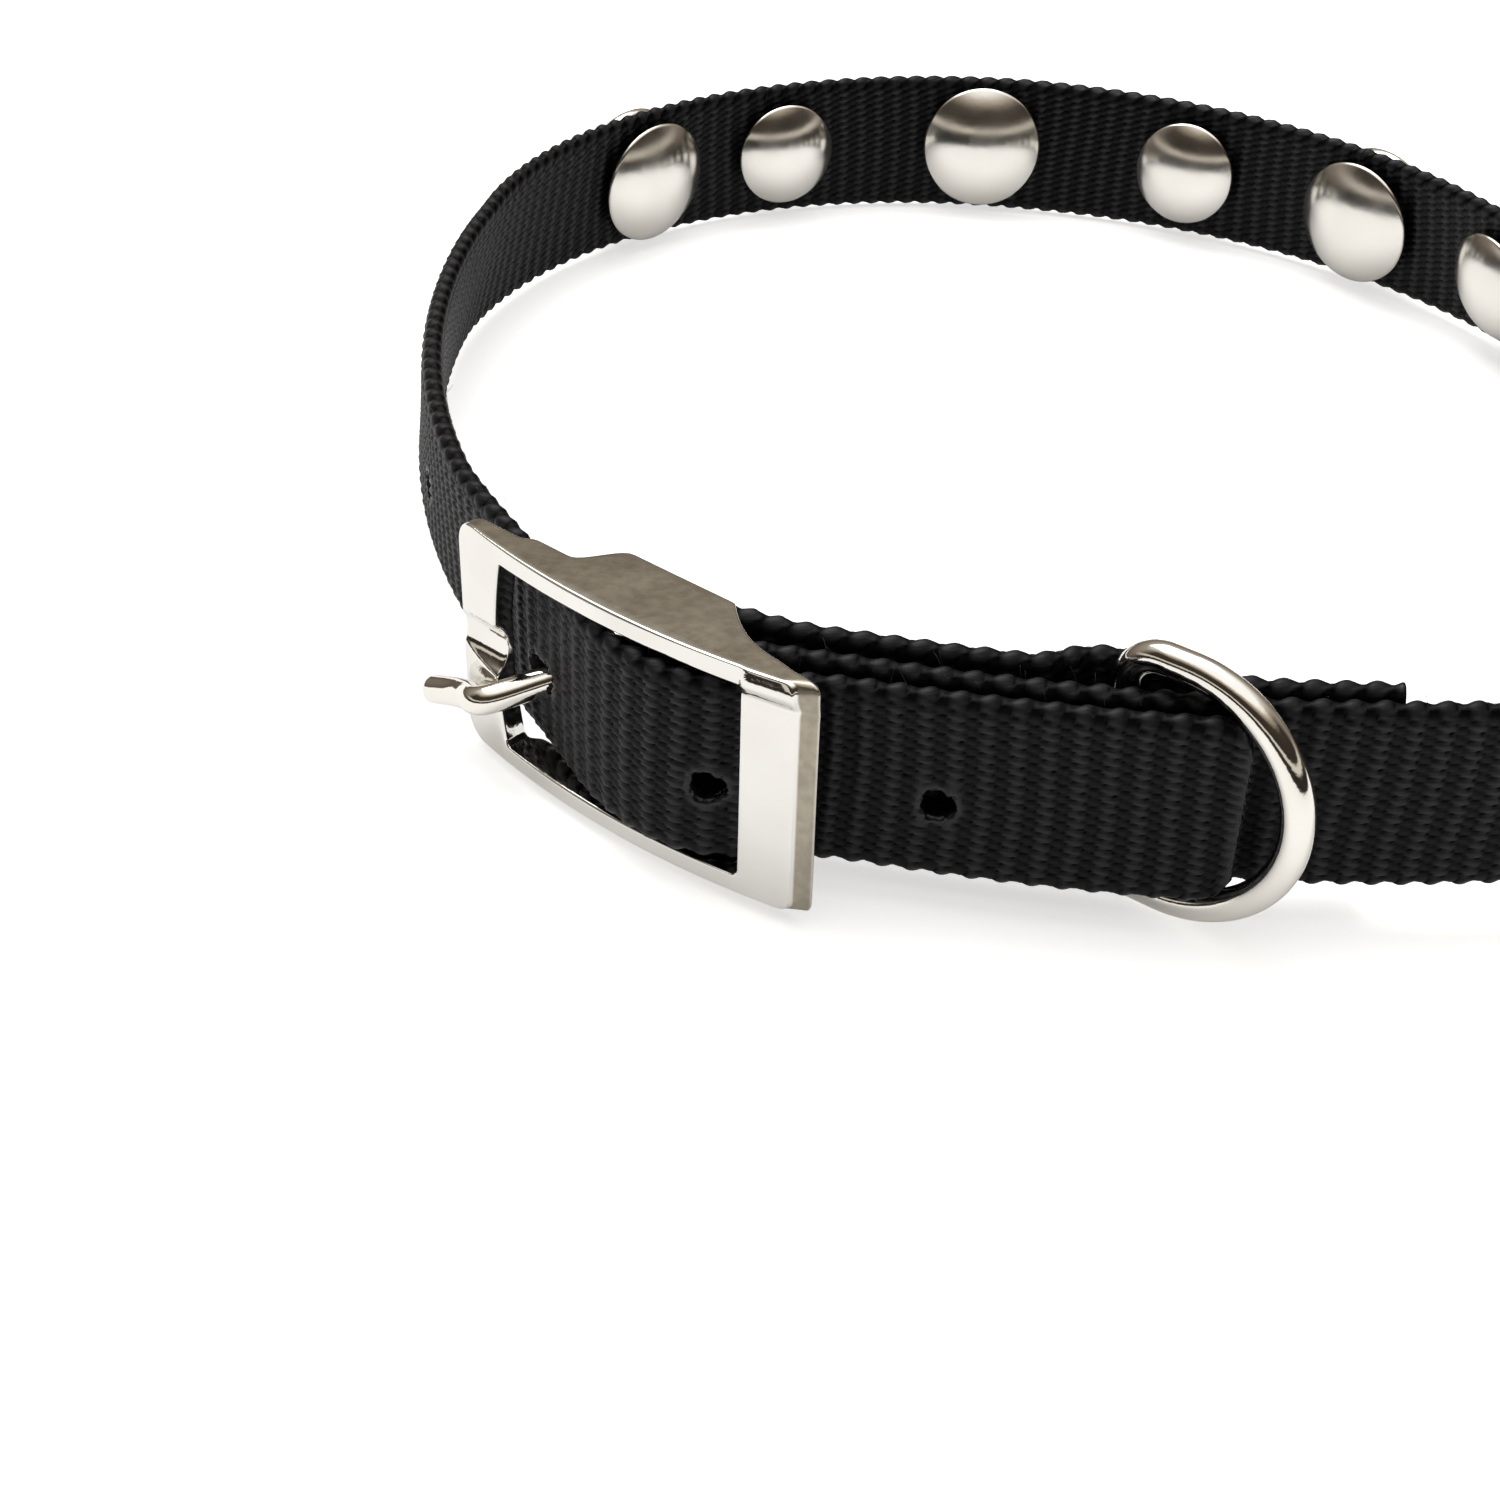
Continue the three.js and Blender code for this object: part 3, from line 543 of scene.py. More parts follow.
def multiplied(nodes, links, colour, tint, share):
    """A colour multiplied by a tint, as strongly as the share says."""
    mix = nodes.new("ShaderNodeMix")
    mix.data_type = "RGBA"
    mix.blend_type = "MULTIPLY"
    mix.inputs["Factor"].default_value = share
    links.new(colour, mix.inputs["A"])
    links.new(tint, mix.inputs["B"])
    return mix.outputs["Result"]


def webbing_finish():
    """Black nylon with painted shade: dark and dull in the valleys, lighter, faintly blue-grey and shinier on
    the floats, each float streaked by its filaments, in lighter and darker patches. The melted rims are
    smooth and glossy, with a painted glint."""
    finish, nodes, links, shader = new_finish("webbing")
    painted_shade_and_glint = nodes.new("ShaderNodeAttribute")
    painted_shade_and_glint.attribute_name = "painted_shade_and_glint"
    melt = nodes.new("ShaderNodeAttribute")
    melt.attribute_name = "melt"
    uv = nodes.new("ShaderNodeUVMap")
    uv.uv_map = "along_and_across"
    along_yarns = {"Scale": (0.9, 8.5, 1), "Rotation": (0, 0, np.radians(7))}
    stretched = new_node(nodes, "ShaderNodeMapping", along_yarns)
    filaments = new_node(nodes, "ShaderNodeTexNoise", {"Scale": 1, "Detail": 3})
    patches = new_node(nodes, "ShaderNodeTexNoise", {"Scale": 0.9, "Detail": 2})
    links.new(uv.outputs["UV"], stretched.inputs["Vector"])
    links.new(stretched.outputs["Vector"], filaments.inputs["Vector"])
    links.new(uv.outputs["UV"], patches.inputs["Vector"])
    # Painted shade: the base colour runs from near black in the valleys to lighter on the float tops
    painted_shade_tones = ramp_between(nodes, [
        (0.2, (0.0002, 0.0002, 0.0003)), (0.6, (0.002, 0.002, 0.0024)), (1.0, (0.008, 0.008, 0.0095)),
    ])
    streak_tone = ramp_between(nodes, [(0.3, (0.55, 0.55, 0.56)), (0.7, (1.3, 1.3, 1.33))])
    patch_tone = ramp_between(nodes, [(0.35, (0.6, 0.6, 0.6)), (0.65, (1.2, 1.2, 1.2))])
    links.new(painted_shade_and_glint.outputs["Fac"], painted_shade_tones.inputs["Fac"])
    links.new(filaments.outputs["Fac"], streak_tone.inputs["Fac"])
    links.new(patches.outputs["Fac"], patch_tone.inputs["Fac"])
    streaked = multiplied(nodes, links, painted_shade_tones.outputs["Color"], streak_tone.outputs["Color"], 0.75)
    patchy = multiplied(nodes, links, streaked, patch_tone.outputs["Color"], 0.6)
    links.new(patchy, shader.inputs["Base Color"])
    gloss = new_node(nodes, "ShaderNodeMapRange", {"To Min": 0.46, "To Max": 0.16})
    links.new(melt.outputs["Fac"], gloss.inputs["Value"])
    links.new(gloss.outputs["Result"], shader.inputs["Roughness"])
    bump = new_node(nodes, "ShaderNodeBump", {"Strength": 0.55, "Distance": 0.04 * MM})
    links.new(filaments.outputs["Fac"], bump.inputs["Height"])
    links.new(bump.outputs["Normal"], shader.inputs["Normal"])
    # Painted shade and glint: the specular level follows the same mask, cut in the valleys and highest on the
    # melted rims
    shine = new_node(nodes, "ShaderNodeMapRange", {"From Min": 0.25, "To Min": 0.01, "To Max": 0.36})
    shader.inputs["Specular Tint"].default_value = (0.9, 0.92, 1.0, 1)
    links.new(painted_shade_and_glint.outputs["Fac"], shine.inputs["Value"])
    links.new(shine.outputs["Result"], shader.inputs["Specular IOR Level"])
    return finish


webbing = webbing_finish()
LAST_RIVET_BEFORE_BAR = 94.5
RIVET_GAPS = [14.8, 19.4, 19.7, 17.7, 16.5, 17, 17, 17]
rivet_places = loop_length - LAST_RIVET_BEFORE_BAR - np.concatenate([[0], np.cumsum(RIVET_GAPS)])
# The band is made in four lengths that meet under three rivets
joins = [COLUMN_PITCH * np.round(band_place(rivet_places[k]) / COLUMN_PITCH) for k in (8, 4, 0)]
web_piece("webbing_sewn_and_right", 0, joins[0], ["strap"])
web_piece("webbing_back_right", joins[0], joins[1])
web_piece("webbing_back_left", joins[1], joins[2])
web_piece("webbing_left_and_tip", joins[2], band_length)


# The stitching: black bonded thread that holds the sewn lap, in three upright rows of slanting stitches,
# on both sides of the D-ring and by the cut end. It is pulled into the weave. A few fibres stand loose.
THREAD_RADIUS = 0.15
STITCH_LENGTH = 2.3
STITCH_SLANT = 0.36
STITCH_SCATTER = 0.06
STITCH_ARCH = 0.2
STITCHES_PER_ROW = 13
ROW_HALF_HEIGHT = 4.9
ROW_PLACES = [20.5, 33.2, 39.6]
PULLED_IN = 0.08
LOOSE_FIBRES = 170
FIBRE_RADIUS = 0.014
FIBRE_LENGTHS = (0.3, 1.1)
FIBRE_ROOT_DEPTH = 0.35
FIBRE_SIDE = 0.7
FIBRE_UPRIGHT = 0.9
FIBRE_LEAN = 0.6
FIBRE_CURL = 0.35


def tubes(paths, radii, reference, sides, ring=False):
    """Round wires, many at once: at each point of a path a circle of its radius, square to the path,
    its first direction being tangent x reference. An open wire has its ends closed by fans."""
    if ring:
        tangents = np.roll(paths, -1, 1) - np.roll(paths, 1, 1)
    else:
        tangents = np.gradient(paths, axis=1)
    across = np.cross(tangents, reference)
    across /= np.linalg.norm(across, axis=-1, keepdims=True)
    upward = np.cross(across, tangents)
    upward /= np.linalg.norm(upward, axis=-1, keepdims=True)
    angle = np.linspace(0, 2 * np.pi, sides, endpoint=False)[:, None]
    circle = across[:, :, None] * np.cos(angle) + upward[:, :, None] * np.sin(angle)
    points = paths[:, :, None] + circle * radii[..., None, None]
    wires_made, stations = paths.shape[:2]
    quads = grid_quads(stations, sides, closed_rows=ring, closed_columns=True).reshape(-1, 4)
    offsets = np.arange(wires_made)[:, None, None] * stations * sides
    faces = [(quads + offsets).reshape(-1, 4)]
    if not ring:
        fan = np.stack([np.zeros(sides - 2, int), np.arange(1, sides - 1), np.arange(2, sides)], 1)
        ends = np.concatenate([fan, fan[:, ::-1] + (stations - 1) * sides])
        faces.append((ends + offsets).reshape(-1, 3))
    points = points.reshape(-1, 3)
    return points, outward(points, faces)


def thread_finish():
    """Bonded black thread: a little lighter than the webbing, its tight twist seen as fine flecks."""
    finish, nodes, links, shader = new_finish("thread")
    place = nodes.new("ShaderNodeTexCoord")
    twist = new_node(nodes, "ShaderNodeTexNoise", {"Scale": 9000})
    tone = ramp_between(nodes, [(0.35, (0.004, 0.004, 0.005)), (0.65, (0.026, 0.026, 0.029))])
    bump = new_node(nodes, "ShaderNodeBump", {"Strength": 0.4, "Distance": 0.02 * MM})
    links.new(place.outputs["Object"], twist.inputs["Vector"])
    links.new(twist.outputs["Fac"], tone.inputs["Fac"])
    links.new(tone.outputs["Color"], shader.inputs["Base Color"])
    links.new(twist.outputs["Fac"], bump.inputs["Height"])
    links.new(bump.outputs["Normal"], shader.inputs["Normal"])
    shader.inputs["Roughness"].default_value = 0.45
    return finish


thread = thread_finish()
chance = np.random.default_rng(7)
bend = np.linspace(0, np.pi, 7)
slant = np.where(np.arange(STITCHES_PER_ROW) % 2, STITCH_SLANT, -STITCH_SLANT)
row_heights = np.linspace(-ROW_HALF_HEIGHT, ROW_HALF_HEIGHT, STITCHES_PER_ROW)
height = row_heights[:, None] + slant[:, None] * np.cos(bend)
stitch_paths = []
for row_place in ROW_PLACES:
    scatter = chance.normal(0, STITCH_SCATTER, (STITCHES_PER_ROW, 1))
    along = row_place + STITCH_LENGTH / 2 * np.cos(bend) + scatter
    proud = WEB_THICKNESS / 2 - PULLED_IN + STITCH_ARCH * np.sin(bend) + np.zeros_like(along)
    point, _, _, _, up = on_loop(along.ravel(), sewn_lap_inset(along.ravel()) + proud.ravel())
    stitch_paths.append((point + up * height.ravel()[:, None]).reshape(STITCHES_PER_ROW, len(bend), 3))
stitch_paths = np.concatenate(stitch_paths)
thickness = THREAD_RADIUS * np.sqrt(np.clip(np.sin(bend), 0.15, 1))
stitch_points, stitch_faces = tubes(
    stitch_paths, np.broadcast_to(thickness, stitch_paths.shape[:2]), np.array([0, 0, 1.0]), 6
)
add_piece("lap_stitching", stitch_points, stitch_faces, thread, "collar")

fibre_root = chance.uniform(FOLD_BACK + 8, band_length - 1, LOOSE_FIBRES)
fibre_middle, fibre_face, fibre_up = on_band(fibre_root)
fibre_side = chance.uniform(-FIBRE_SIDE, FIBRE_SIDE, (LOOSE_FIBRES, 1))
fibre_lean = chance.normal(0, FIBRE_LEAN, (LOOSE_FIBRES, 3)) + fibre_up * FIBRE_UPRIGHT
fibre_length = chance.uniform(*FIBRE_LENGTHS, (LOOSE_FIBRES, 1, 1))
fibre_curl = chance.normal(0, FIBRE_CURL, (LOOSE_FIBRES, 1, 3))
fibre_share = np.linspace(0, 1, 5)[None, :, None]
fibre_start = fibre_middle + fibre_face * fibre_side + fibre_up * (WEB_WIDTH / 2 - FIBRE_ROOT_DEPTH)
fibre_paths = fibre_start[:, None] + fibre_lean[:, None] * fibre_length * fibre_share
fibre_paths = fibre_paths + fibre_curl * fibre_length * fibre_share**2
fibre_points, fibre_faces = tubes(
    fibre_paths, np.full(fibre_paths.shape[:2], FIBRE_RADIUS), fibre_face[:, None], 3
)
add_piece("loose_fibres", fibre_points, fibre_faces, thread, "collar")


# The buckle: one polished nickel-plated casting, bowed to the front, with a wide keeper plate on the
# right, a narrower bar scooped for the prong on the left, and rails that deepen to carry the centre bar.
WINDOW_HALF = WEB_WIDTH / 2 + FIT_GAP
RAIL = 1.2
CORNER_RIGHT = 0.7
CORNER_LEFT = 1.7
WINDOW_CORNER = 0.4
WINDOW_BULGE_REACH = 3
EDGE_ROUND = 0.2
END_DRAFT = 1.0
DRAFT_REACH = 1.5
RIGHT_END_THINNING = 0.3
# The belly of the rails: its reach each way from the bar, and how its two shoulders start and end
BELLY_REACH = 5.6
LEFT_SHOULDER = 2.2
LEFT_FOOT = 0.6
RIGHT_SHOULDER = 1.4
SEAT_RADIUS = 1.9
SEAT_DEPTH = 0.7
SEAT_PAST_WINDOW = 1.2
BAR_INTO_RAIL = 0.4
BAR_FILLET = 0.25
# The rolled lip along the top of the keeper plate, and the line scored under it
LIP_HEIGHT = 0.32
LIP_AT = 6.7
LIP_REACH = 0.6
SCORE_DEPTH = 0.14
SCORE_AT = 5.7
SCORE_REACH = 0.22
CAST_AT_BACK = 0.5
SIDE_STEPS = 72
RAIL_STEPS = 80
CORNER_STEPS = 8
FACE_STEPS = 8
ROUND_STEPS = 5
BAR_STEPS = 24


def handling_marks():
    """A node group for metal that is handled: broad patches vary the roughness, and finer dents give a
    height for the bump."""
    group = bpy.data.node_groups.new("handling_marks", "ShaderNodeTree")
    for label, value in (("Patches per metre", 500), ("Least roughness", 0.05), ("Most roughness", 0.15)):
        group.interface.new_socket(label, in_out="INPUT", socket_type="NodeSocketFloat").default_value = value
    for label in ("Roughness", "Height"):
        group.interface.new_socket(label, in_out="OUTPUT", socket_type="NodeSocketFloat")
    nodes = group.nodes
    entry = nodes.new("NodeGroupInput")
    leave = nodes.new("NodeGroupOutput")
    place = nodes.new("ShaderNodeTexCoord")
    patches = new_node(nodes, "ShaderNodeTexNoise", {"Detail": 4})
    spread = new_node(nodes, "ShaderNodeMapRange", {"From Min": 0.3, "From Max": 0.7})
    finer = nodes.new("ShaderNodeMath")
    finer.operation = "MULTIPLY"
    finer.inputs[1].default_value = 3.5
    dents = new_node(nodes, "ShaderNodeTexNoise", {"Detail": 3})
    group.links.new(place.outputs["Object"], patches.inputs["Vector"])
    group.links.new(place.outputs["Object"], dents.inputs["Vector"])
    group.links.new(entry.outputs["Patches per metre"], patches.inputs["Scale"])
    group.links.new(entry.outputs["Patches per metre"], finer.inputs[0])
    group.links.new(finer.outputs["Value"], dents.inputs["Scale"])
    group.links.new(patches.outputs["Fac"], spread.inputs["Value"])
    group.links.new(entry.outputs["Least roughness"], spread.inputs["To Min"])
    group.links.new(entry.outputs["Most roughness"], spread.inputs["To Max"])
    group.links.new(spread.outputs["Result"], leave.inputs["Roughness"])
    group.links.new(dents.outputs["Fac"], leave.inputs["Height"])
    return group


marks_group = handling_marks()


def plated_finish(name, bright, dull, patches, least, most, dent_height, cast_colour=None):
    """Nickel plate: the colour drifts between bright and dull over the piece, with handling marks. Where
    the attribute "cast" is 1 the plate lies on unpolished metal and is greyer and satin."""
    finish, nodes, links, shader = new_finish(name)
    marks = nodes.new("ShaderNodeGroup")
    marks.node_tree = marks_group
    marks.inputs["Patches per metre"].default_value = patches
    marks.inputs["Least roughness"].default_value = least
    marks.inputs["Most roughness"].default_value = most
    place = nodes.new("ShaderNodeTexCoord")
    drift = new_node(nodes, "ShaderNodeTexNoise", {"Scale": 160})
    tone = ramp_between(nodes, [(0.35, dull), (0.65, bright)])
    bump = new_node(nodes, "ShaderNodeBump", {"Strength": 0.35, "Distance": dent_height * MM})
    links.new(place.outputs["Object"], drift.inputs["Vector"])
    links.new(drift.outputs["Fac"], tone.inputs["Fac"])
    links.new(marks.outputs["Height"], bump.inputs["Height"])
    links.new(bump.outputs["Normal"], shader.inputs["Normal"])
    if cast_colour is None:
        links.new(tone.outputs["Color"], shader.inputs["Base Color"])
        links.new(marks.outputs["Roughness"], shader.inputs["Roughness"])
    else:
        cast = nodes.new("ShaderNodeAttribute")
        cast.attribute_name = "cast"
        colour = nodes.new("ShaderNodeMix")
        colour.data_type = "RGBA"
        mottled = ramp_between(nodes, [
            (position, tuple(share * channel for channel in cast_colour))
            for position, share in ((0.35, 0.88), (0.65, 1.1))
        ])
        links.new(marks.outputs["Height"], mottled.inputs["Fac"])
        links.new(mottled.outputs["Color"], colour.inputs["B"])
        links.new(cast.outputs["Fac"], colour.inputs["Factor"])
        links.new(tone.outputs["Color"], colour.inputs["A"])
        links.new(colour.outputs["Result"], shader.inputs["Base Color"])
        satin = nodes.new("ShaderNodeMath")
        satin.operation = "MULTIPLY_ADD"
        satin.inputs[1].default_value = 0.22
        links.new(cast.outputs["Fac"], satin.inputs[0])
        links.new(marks.outputs["Roughness"], satin.inputs[2])
        links.new(satin.outputs["Value"], shader.inputs["Roughness"])
    shader.inputs["Metallic"].default_value = 1
    return finish


buckle_plate = plated_finish(
    "buckle_plate", (0.84, 0.83, 0.80), (0.79, 0.775, 0.74), 420, 0.04, 0.11, 0.04, (0.36, 0.325, 0.265)
)


def front_bow(x):
    """How far the buckle's face bows out: most at the middle, falling with the square of x to its ends."""
    return FRONT_BOW * (1 - (2 * x / BUCKLE_LENGTH) ** 2)


def frame_outline(left, right_end, half, corner_right, corner_left, bulge):
    """A rounded rectangle, once round from the middle of its right side, with its left side bulged out:
    the sides and the corner arcs have the same numbers of points in every outline."""
    up_side = np.linspace(-1, 1, SIDE_STEPS, endpoint=False)
    run = np.linspace(0, 1, RAIL_STEPS, endpoint=False)
    quarter = np.linspace(0, np.pi / 2, CORNER_STEPS, endpoint=False)
    span = right_end - corner_right - left - corner_left
    parts_x = [np.full(SIDE_STEPS, right_end)]
    parts_z = [up_side * (half - corner_right)]
    for k, corner in enumerate((corner_right, corner_left, corner_left, corner_right)):
        centre_x = right_end - corner if k in (0, 3) else left + corner
        centre_z = half - corner if k < 2 else corner - half
        parts_x.append(centre_x + corner * np.cos(quarter + k * np.pi / 2))
        parts_z.append(centre_z + corner * np.sin(quarter + k * np.pi / 2))
        if k in (0, 2):
            parts_x.append(centre_x - run * span if k == 0 else centre_x + run * span)
            parts_z.append(np.full(RAIL_STEPS, half if k == 0 else -half))
        if k == 1:
            parts_x.append(np.full(SIDE_STEPS, left))
            parts_z.append(-up_side * (half - corner_left))
    x, z = np.concatenate(parts_x), np.concatenate(parts_z)
    near_left = np.clip((left + WINDOW_BULGE_REACH - x) / WINDOW_BULGE_REACH, 0, 1)
    return x + bulge * near_left * (z / half) ** 2, z


outer_x, outer_z = frame_outline(
    -BUCKLE_LENGTH / 2, BUCKLE_LENGTH / 2, WINDOW_HALF + RAIL, CORNER_RIGHT, CORNER_LEFT, 0
)
inner_x, inner_z = frame_outline(
    WINDOW_LEFT, WINDOW_RIGHT, WINDOW_HALF, WINDOW_CORNER, WINDOW_CORNER, WINDOW_BULGE
)
wall_width = np.hypot(outer_x - inner_x, outer_z - inner_z)
# The section, once round: front face outward from the window, outer side, back face, window side
flat = np.linspace(0, 1, FACE_STEPS + 2)[1:-1]
quarter = np.linspace(0, np.pi / 2, ROUND_STEPS)
none, full = np.zeros(FACE_STEPS), np.ones(FACE_STEPS)
from_inner = [flat, full, flat[::-1], none]
from_front = [none, flat, full, flat[::-1]]
section_parts = []
for side in range(4):
    corner_a, corner_b = ((1, 0), (1, 1), (0, 1), (0, 0))[side]
    start = (-np.pi / 2, 0, np.pi / 2, np.pi)[side]
    section_parts.append((from_inner[side], from_front[side], none, none))
    section_parts.append((
        np.full(ROUND_STEPS, float(corner_a)), np.full(ROUND_STEPS, float(corner_b)),
        np.cos(start + quarter) - (1 if corner_a else -1), np.sin(start + quarter) - (1 if corner_b else -1),
    ))
share_out, share_back, round_out, round_back = (
    np.concatenate([part[k] for part in section_parts]) for k in range(4)
)
on_face = np.abs(round_out) + np.abs(round_back) == 0
straight_out = on_face & (share_out > 0) & (share_out < 1)
straight_back = on_face & (share_back > 0) & (share_back < 1)
out_mm = share_out * wall_width[:, None] + round_out * EDGE_ROUND
out_mm = np.where(straight_out, EDGE_ROUND + share_out * (wall_width[:, None] - 2 * EDGE_ROUND), out_mm)
part_out = out_mm / wall_width[:, None]
frame_x = inner_x[:, None] + (outer_x - inner_x)[:, None] * part_out
frame_z = inner_z[:, None] + (outer_z - inner_z)[:, None] * part_out
face_y = -front_bow(frame_x)
seat_middle = WINDOW_LEFT - PRONG_BAR_WIDTH / 2
seat_axis = -front_bow(seat_middle) - SEAT_RADIUS + SEAT_DEPTH
seat_y = seat_axis + np.sqrt(np.clip(SEAT_RADIUS**2 - frame_z**2, 0, None))
in_seat = (frame_x < WINDOW_LEFT + SEAT_PAST_WINDOW) & (np.abs(frame_z) < SEAT_RADIUS)
dip = np.where(in_seat, np.maximum(seat_y - face_y, 0), 0)
left_belly = 1 - ease(BAR_X - frame_x, BELLY_REACH - LEFT_SHOULDER, BELLY_REACH + LEFT_FOOT)
right_fall = np.clip((frame_x - BAR_X - BELLY_REACH + RIGHT_SHOULDER) / BELLY_REACH, 0, 1)
belly = np.where(frame_x < BAR_X, left_belly, (1 - right_fall) ** 2)
left_end = 1 - ease(frame_x, WINDOW_LEFT + WINDOW_BULGE, WINDOW_LEFT + 2.5 * WINDOW_BULGE)
right_end = ease(frame_x, WINDOW_RIGHT, BUCKLE_LENGTH / 2)
on_rail = ease(np.abs(frame_z), WINDOW_HALF - 0.2, WINDOW_HALF)
back_y = BACK_DEPTH - (BACK_DEPTH - PRONG_BAR_BACK) * left_end - RIGHT_END_THINNING * BACK_DEPTH * right_end
back_y = back_y + (BAR_Y + BAR_RADIUS - back_y) * belly * on_rail
depth = back_y - face_y
back_mm = share_back * depth + round_back * EDGE_ROUND
back_mm = np.where(straight_back, EDGE_ROUND + share_back * (depth - 2 * EDGE_ROUND), back_mm)
on_keeper = ease(frame_x, WINDOW_RIGHT - 0.1, WINDOW_RIGHT + 0.4)
rolled = LIP_HEIGHT * np.exp(-(((frame_z - LIP_AT) / LIP_REACH) ** 2))
scored = SCORE_DEPTH * np.exp(-(((frame_z - SCORE_AT) / SCORE_REACH) ** 2))
frame_y = face_y + back_mm + (dip - on_keeper * (rolled - scored)) * (1 - back_mm / depth)
cast_side = (share_out == 1) * ease(share_back + np.zeros_like(depth), 0.02, 0.12)
outer_rail = (np.abs(outer_z) > WINDOW_HALF) | (outer_x > BUCKLE_LENGTH / 2 - 0.1)
cast_side = cast_side * outer_rail[:, None] * (1 - (share_back == 1) * CAST_AT_BACK)
near_end = ease(frame_x, BUCKLE_LENGTH / 2 - DRAFT_REACH, BUCKLE_LENGTH / 2)
drafted_x = frame_x + END_DRAFT * share_out * share_back * near_end
frame_points = np.stack([drafted_x, frame_y, frame_z], -1).reshape(-1, 3)
frame_quads = grid_quads(len(outer_x), len(share_out), closed_rows=True, closed_columns=True).reshape(-1, 4)
frame_quads = outward(frame_points, [frame_quads])[0]
bar_z = np.linspace(-WINDOW_HALF - BAR_INTO_RAIL, WINDOW_HALF + BAR_INTO_RAIL, BAR_STEPS)
bar_path = np.stack([np.full(BAR_STEPS, BAR_X), np.full(BAR_STEPS, BAR_Y), bar_z], 1)
bar_swell = BAR_RADIUS + BAR_FILLET * ease(np.abs(bar_z), WINDOW_HALF - 0.7, WINDOW_HALF)
bar_points, bar_faces = tubes(bar_path[None], bar_swell[None], np.array([0, 1.0, 0]), BAR_STEPS)
bar_faces = [part + len(frame_points) for part in bar_faces]
add_piece(
    "buckle_casting", np.concatenate([frame_points, bar_points]),
    [np.concatenate([frame_quads, bar_faces[0]]), bar_faces[1]],
    buckle_plate, "collar", ["buckle_frame"],
    masks={"cast": np.concatenate([cast_side.ravel(), np.zeros(len(bar_points))])},
)


# The prong: nickel-plated wire, closed round the centre bar, lying under the tip lap, up through its
# hole and over the scooped bar. It lies a little below its seat, as it was pulled aside.
PRONG_WIRE = 1.8
PRONG_PAST_BAR = 1.8
PRONG_DROOP = 4.8
PRONG_RISE = 0.6
PRONG_DROP_AT_HOLE = 1.6
PRONG_RING_TURN = np.radians(308)
PRONG_OVER_BAR = 1.3 * FIT_GAP
ROUNDED_END = 0.5
WIRE_SIDES = 32
# From the ring to the hole: distance before the hole, share of the way under the lap, share of the drop
PRONG_WAY_OUT = [(4.2, 1, 0.1), (2.7, 1, 0.5), (1.3, 0.72, 0.85), (0, 0, 1)]
wire_plate = plated_finish("wire_plate", (0.88, 0.86, 0.81), (0.82, 0.80, 0.75), 600, 0.04, 0.10, 0.02)


def smooth_through(points, per_span):
    """A path through points: in each span the cubic whose ends follow the neighbours (Catmull-Rom)."""
    ends = np.concatenate([2 * points[:1] - points[1:2], points, 2 * points[-1:] - points[-2:-1]])
    place = np.linspace(0, len(points) - 1, (len(points) - 1) * per_span + 1)
    span = np.minimum(place.astype(int), len(points) - 2)
    t = (place - span)[:, None]
    a, b, c, d = (ends[span + k] for k in range(4))
    return b + 0.5 * t * (c - a + t * (2 * a - 5 * b + 4 * c - d + t * (3 * (b - c) + d - a)))


def on_tip_lap(past_bar, outside):
    """A point of the tip lap at a distance past the bar, and so far outside the lap's middle line."""
    along = loop_length + np.array([past_bar, past_bar + 0.05])
    two = on_loop(along, -tip_lap_rise(along))[0]
    ahead = (two[1] - two[0]) / np.linalg.norm(two[1] - two[0])
    return two[0] + outside * np.array([ahead[1], -ahead[0], 0])


wire_radius = PRONG_WIRE / 2
ring_radius = BAR_RADIUS + BAR_GAP + wire_radius
ring_turn = PRONG_RING_TURN * (1 - np.linspace(0, 1, 11))
prong_ring = np.stack([
    BAR_X + ring_radius * np.sin(ring_turn), BAR_Y - ring_radius * np.cos(ring_turn),
    np.full(len(ring_turn), PRONG_RISE),
], 1)
under = -(WEB_THICKNESS / 2 + FIT_GAP + wire_radius)
full_drop = PRONG_RISE + PRONG_DROP_AT_HOLE
prong_rise = np.array([
    on_tip_lap(PRONG_HOLE_PAST_BAR + before, share * under) + [0, 0, PRONG_RISE - drop * full_drop]
    for before, share, drop in PRONG_WAY_OUT
])
prong_tip = -BUCKLE_LENGTH / 2 - PRONG_PAST_BAR
over_x = np.array([
    WINDOW_LEFT + 0.6, WINDOW_LEFT - 0.4 * PRONG_BAR_WIDTH, WINDOW_LEFT - 0.8 * PRONG_BAR_WIDTH, prong_tip,
])
over_y = -(front_bow(np.maximum(over_x, -BUCKLE_LENGTH / 2)) + PRONG_OVER_BAR + wire_radius)
over_share = (prong_rise[-1, 0] - over_x) / (prong_rise[-1, 0] - prong_tip)
over_z = -PRONG_DROP_AT_HOLE - over_share * (PRONG_DROOP - PRONG_DROP_AT_HOLE)
prong_over = np.stack([over_x, over_y, over_z], 1)
prong_line = smooth_through(np.concatenate([prong_ring, prong_rise, prong_over]), 10)
prong_reach = np.concatenate([[0], np.cumsum(np.linalg.norm(np.diff(prong_line, axis=0), axis=1))])
end_steps = np.sin(np.linspace(0, np.pi / 2, 9))
prong_along = np.concatenate([
    prong_reach[prong_reach < prong_reach[-1] - ROUNDED_END], prong_reach[-1] - ROUNDED_END * (1 - end_steps),
])
prong_path = np.stack([np.interp(prong_along, prong_reach, prong_line[:, k]) for k in range(3)], 1)
in_end = np.clip(1 - (prong_reach[-1] - prong_along) / ROUNDED_END, 0, 1)
prong_radii = wire_radius * (1 - 0.5 * (1 - np.sqrt(1 - in_end**2)))
prong_points, prong_faces = tubes(prong_path[None], prong_radii[None], np.array([0, 0, 1.0]), WIRE_SIDES)
add_piece("prong_wire", prong_points, prong_faces, wire_plate, "collar", ["prong"])


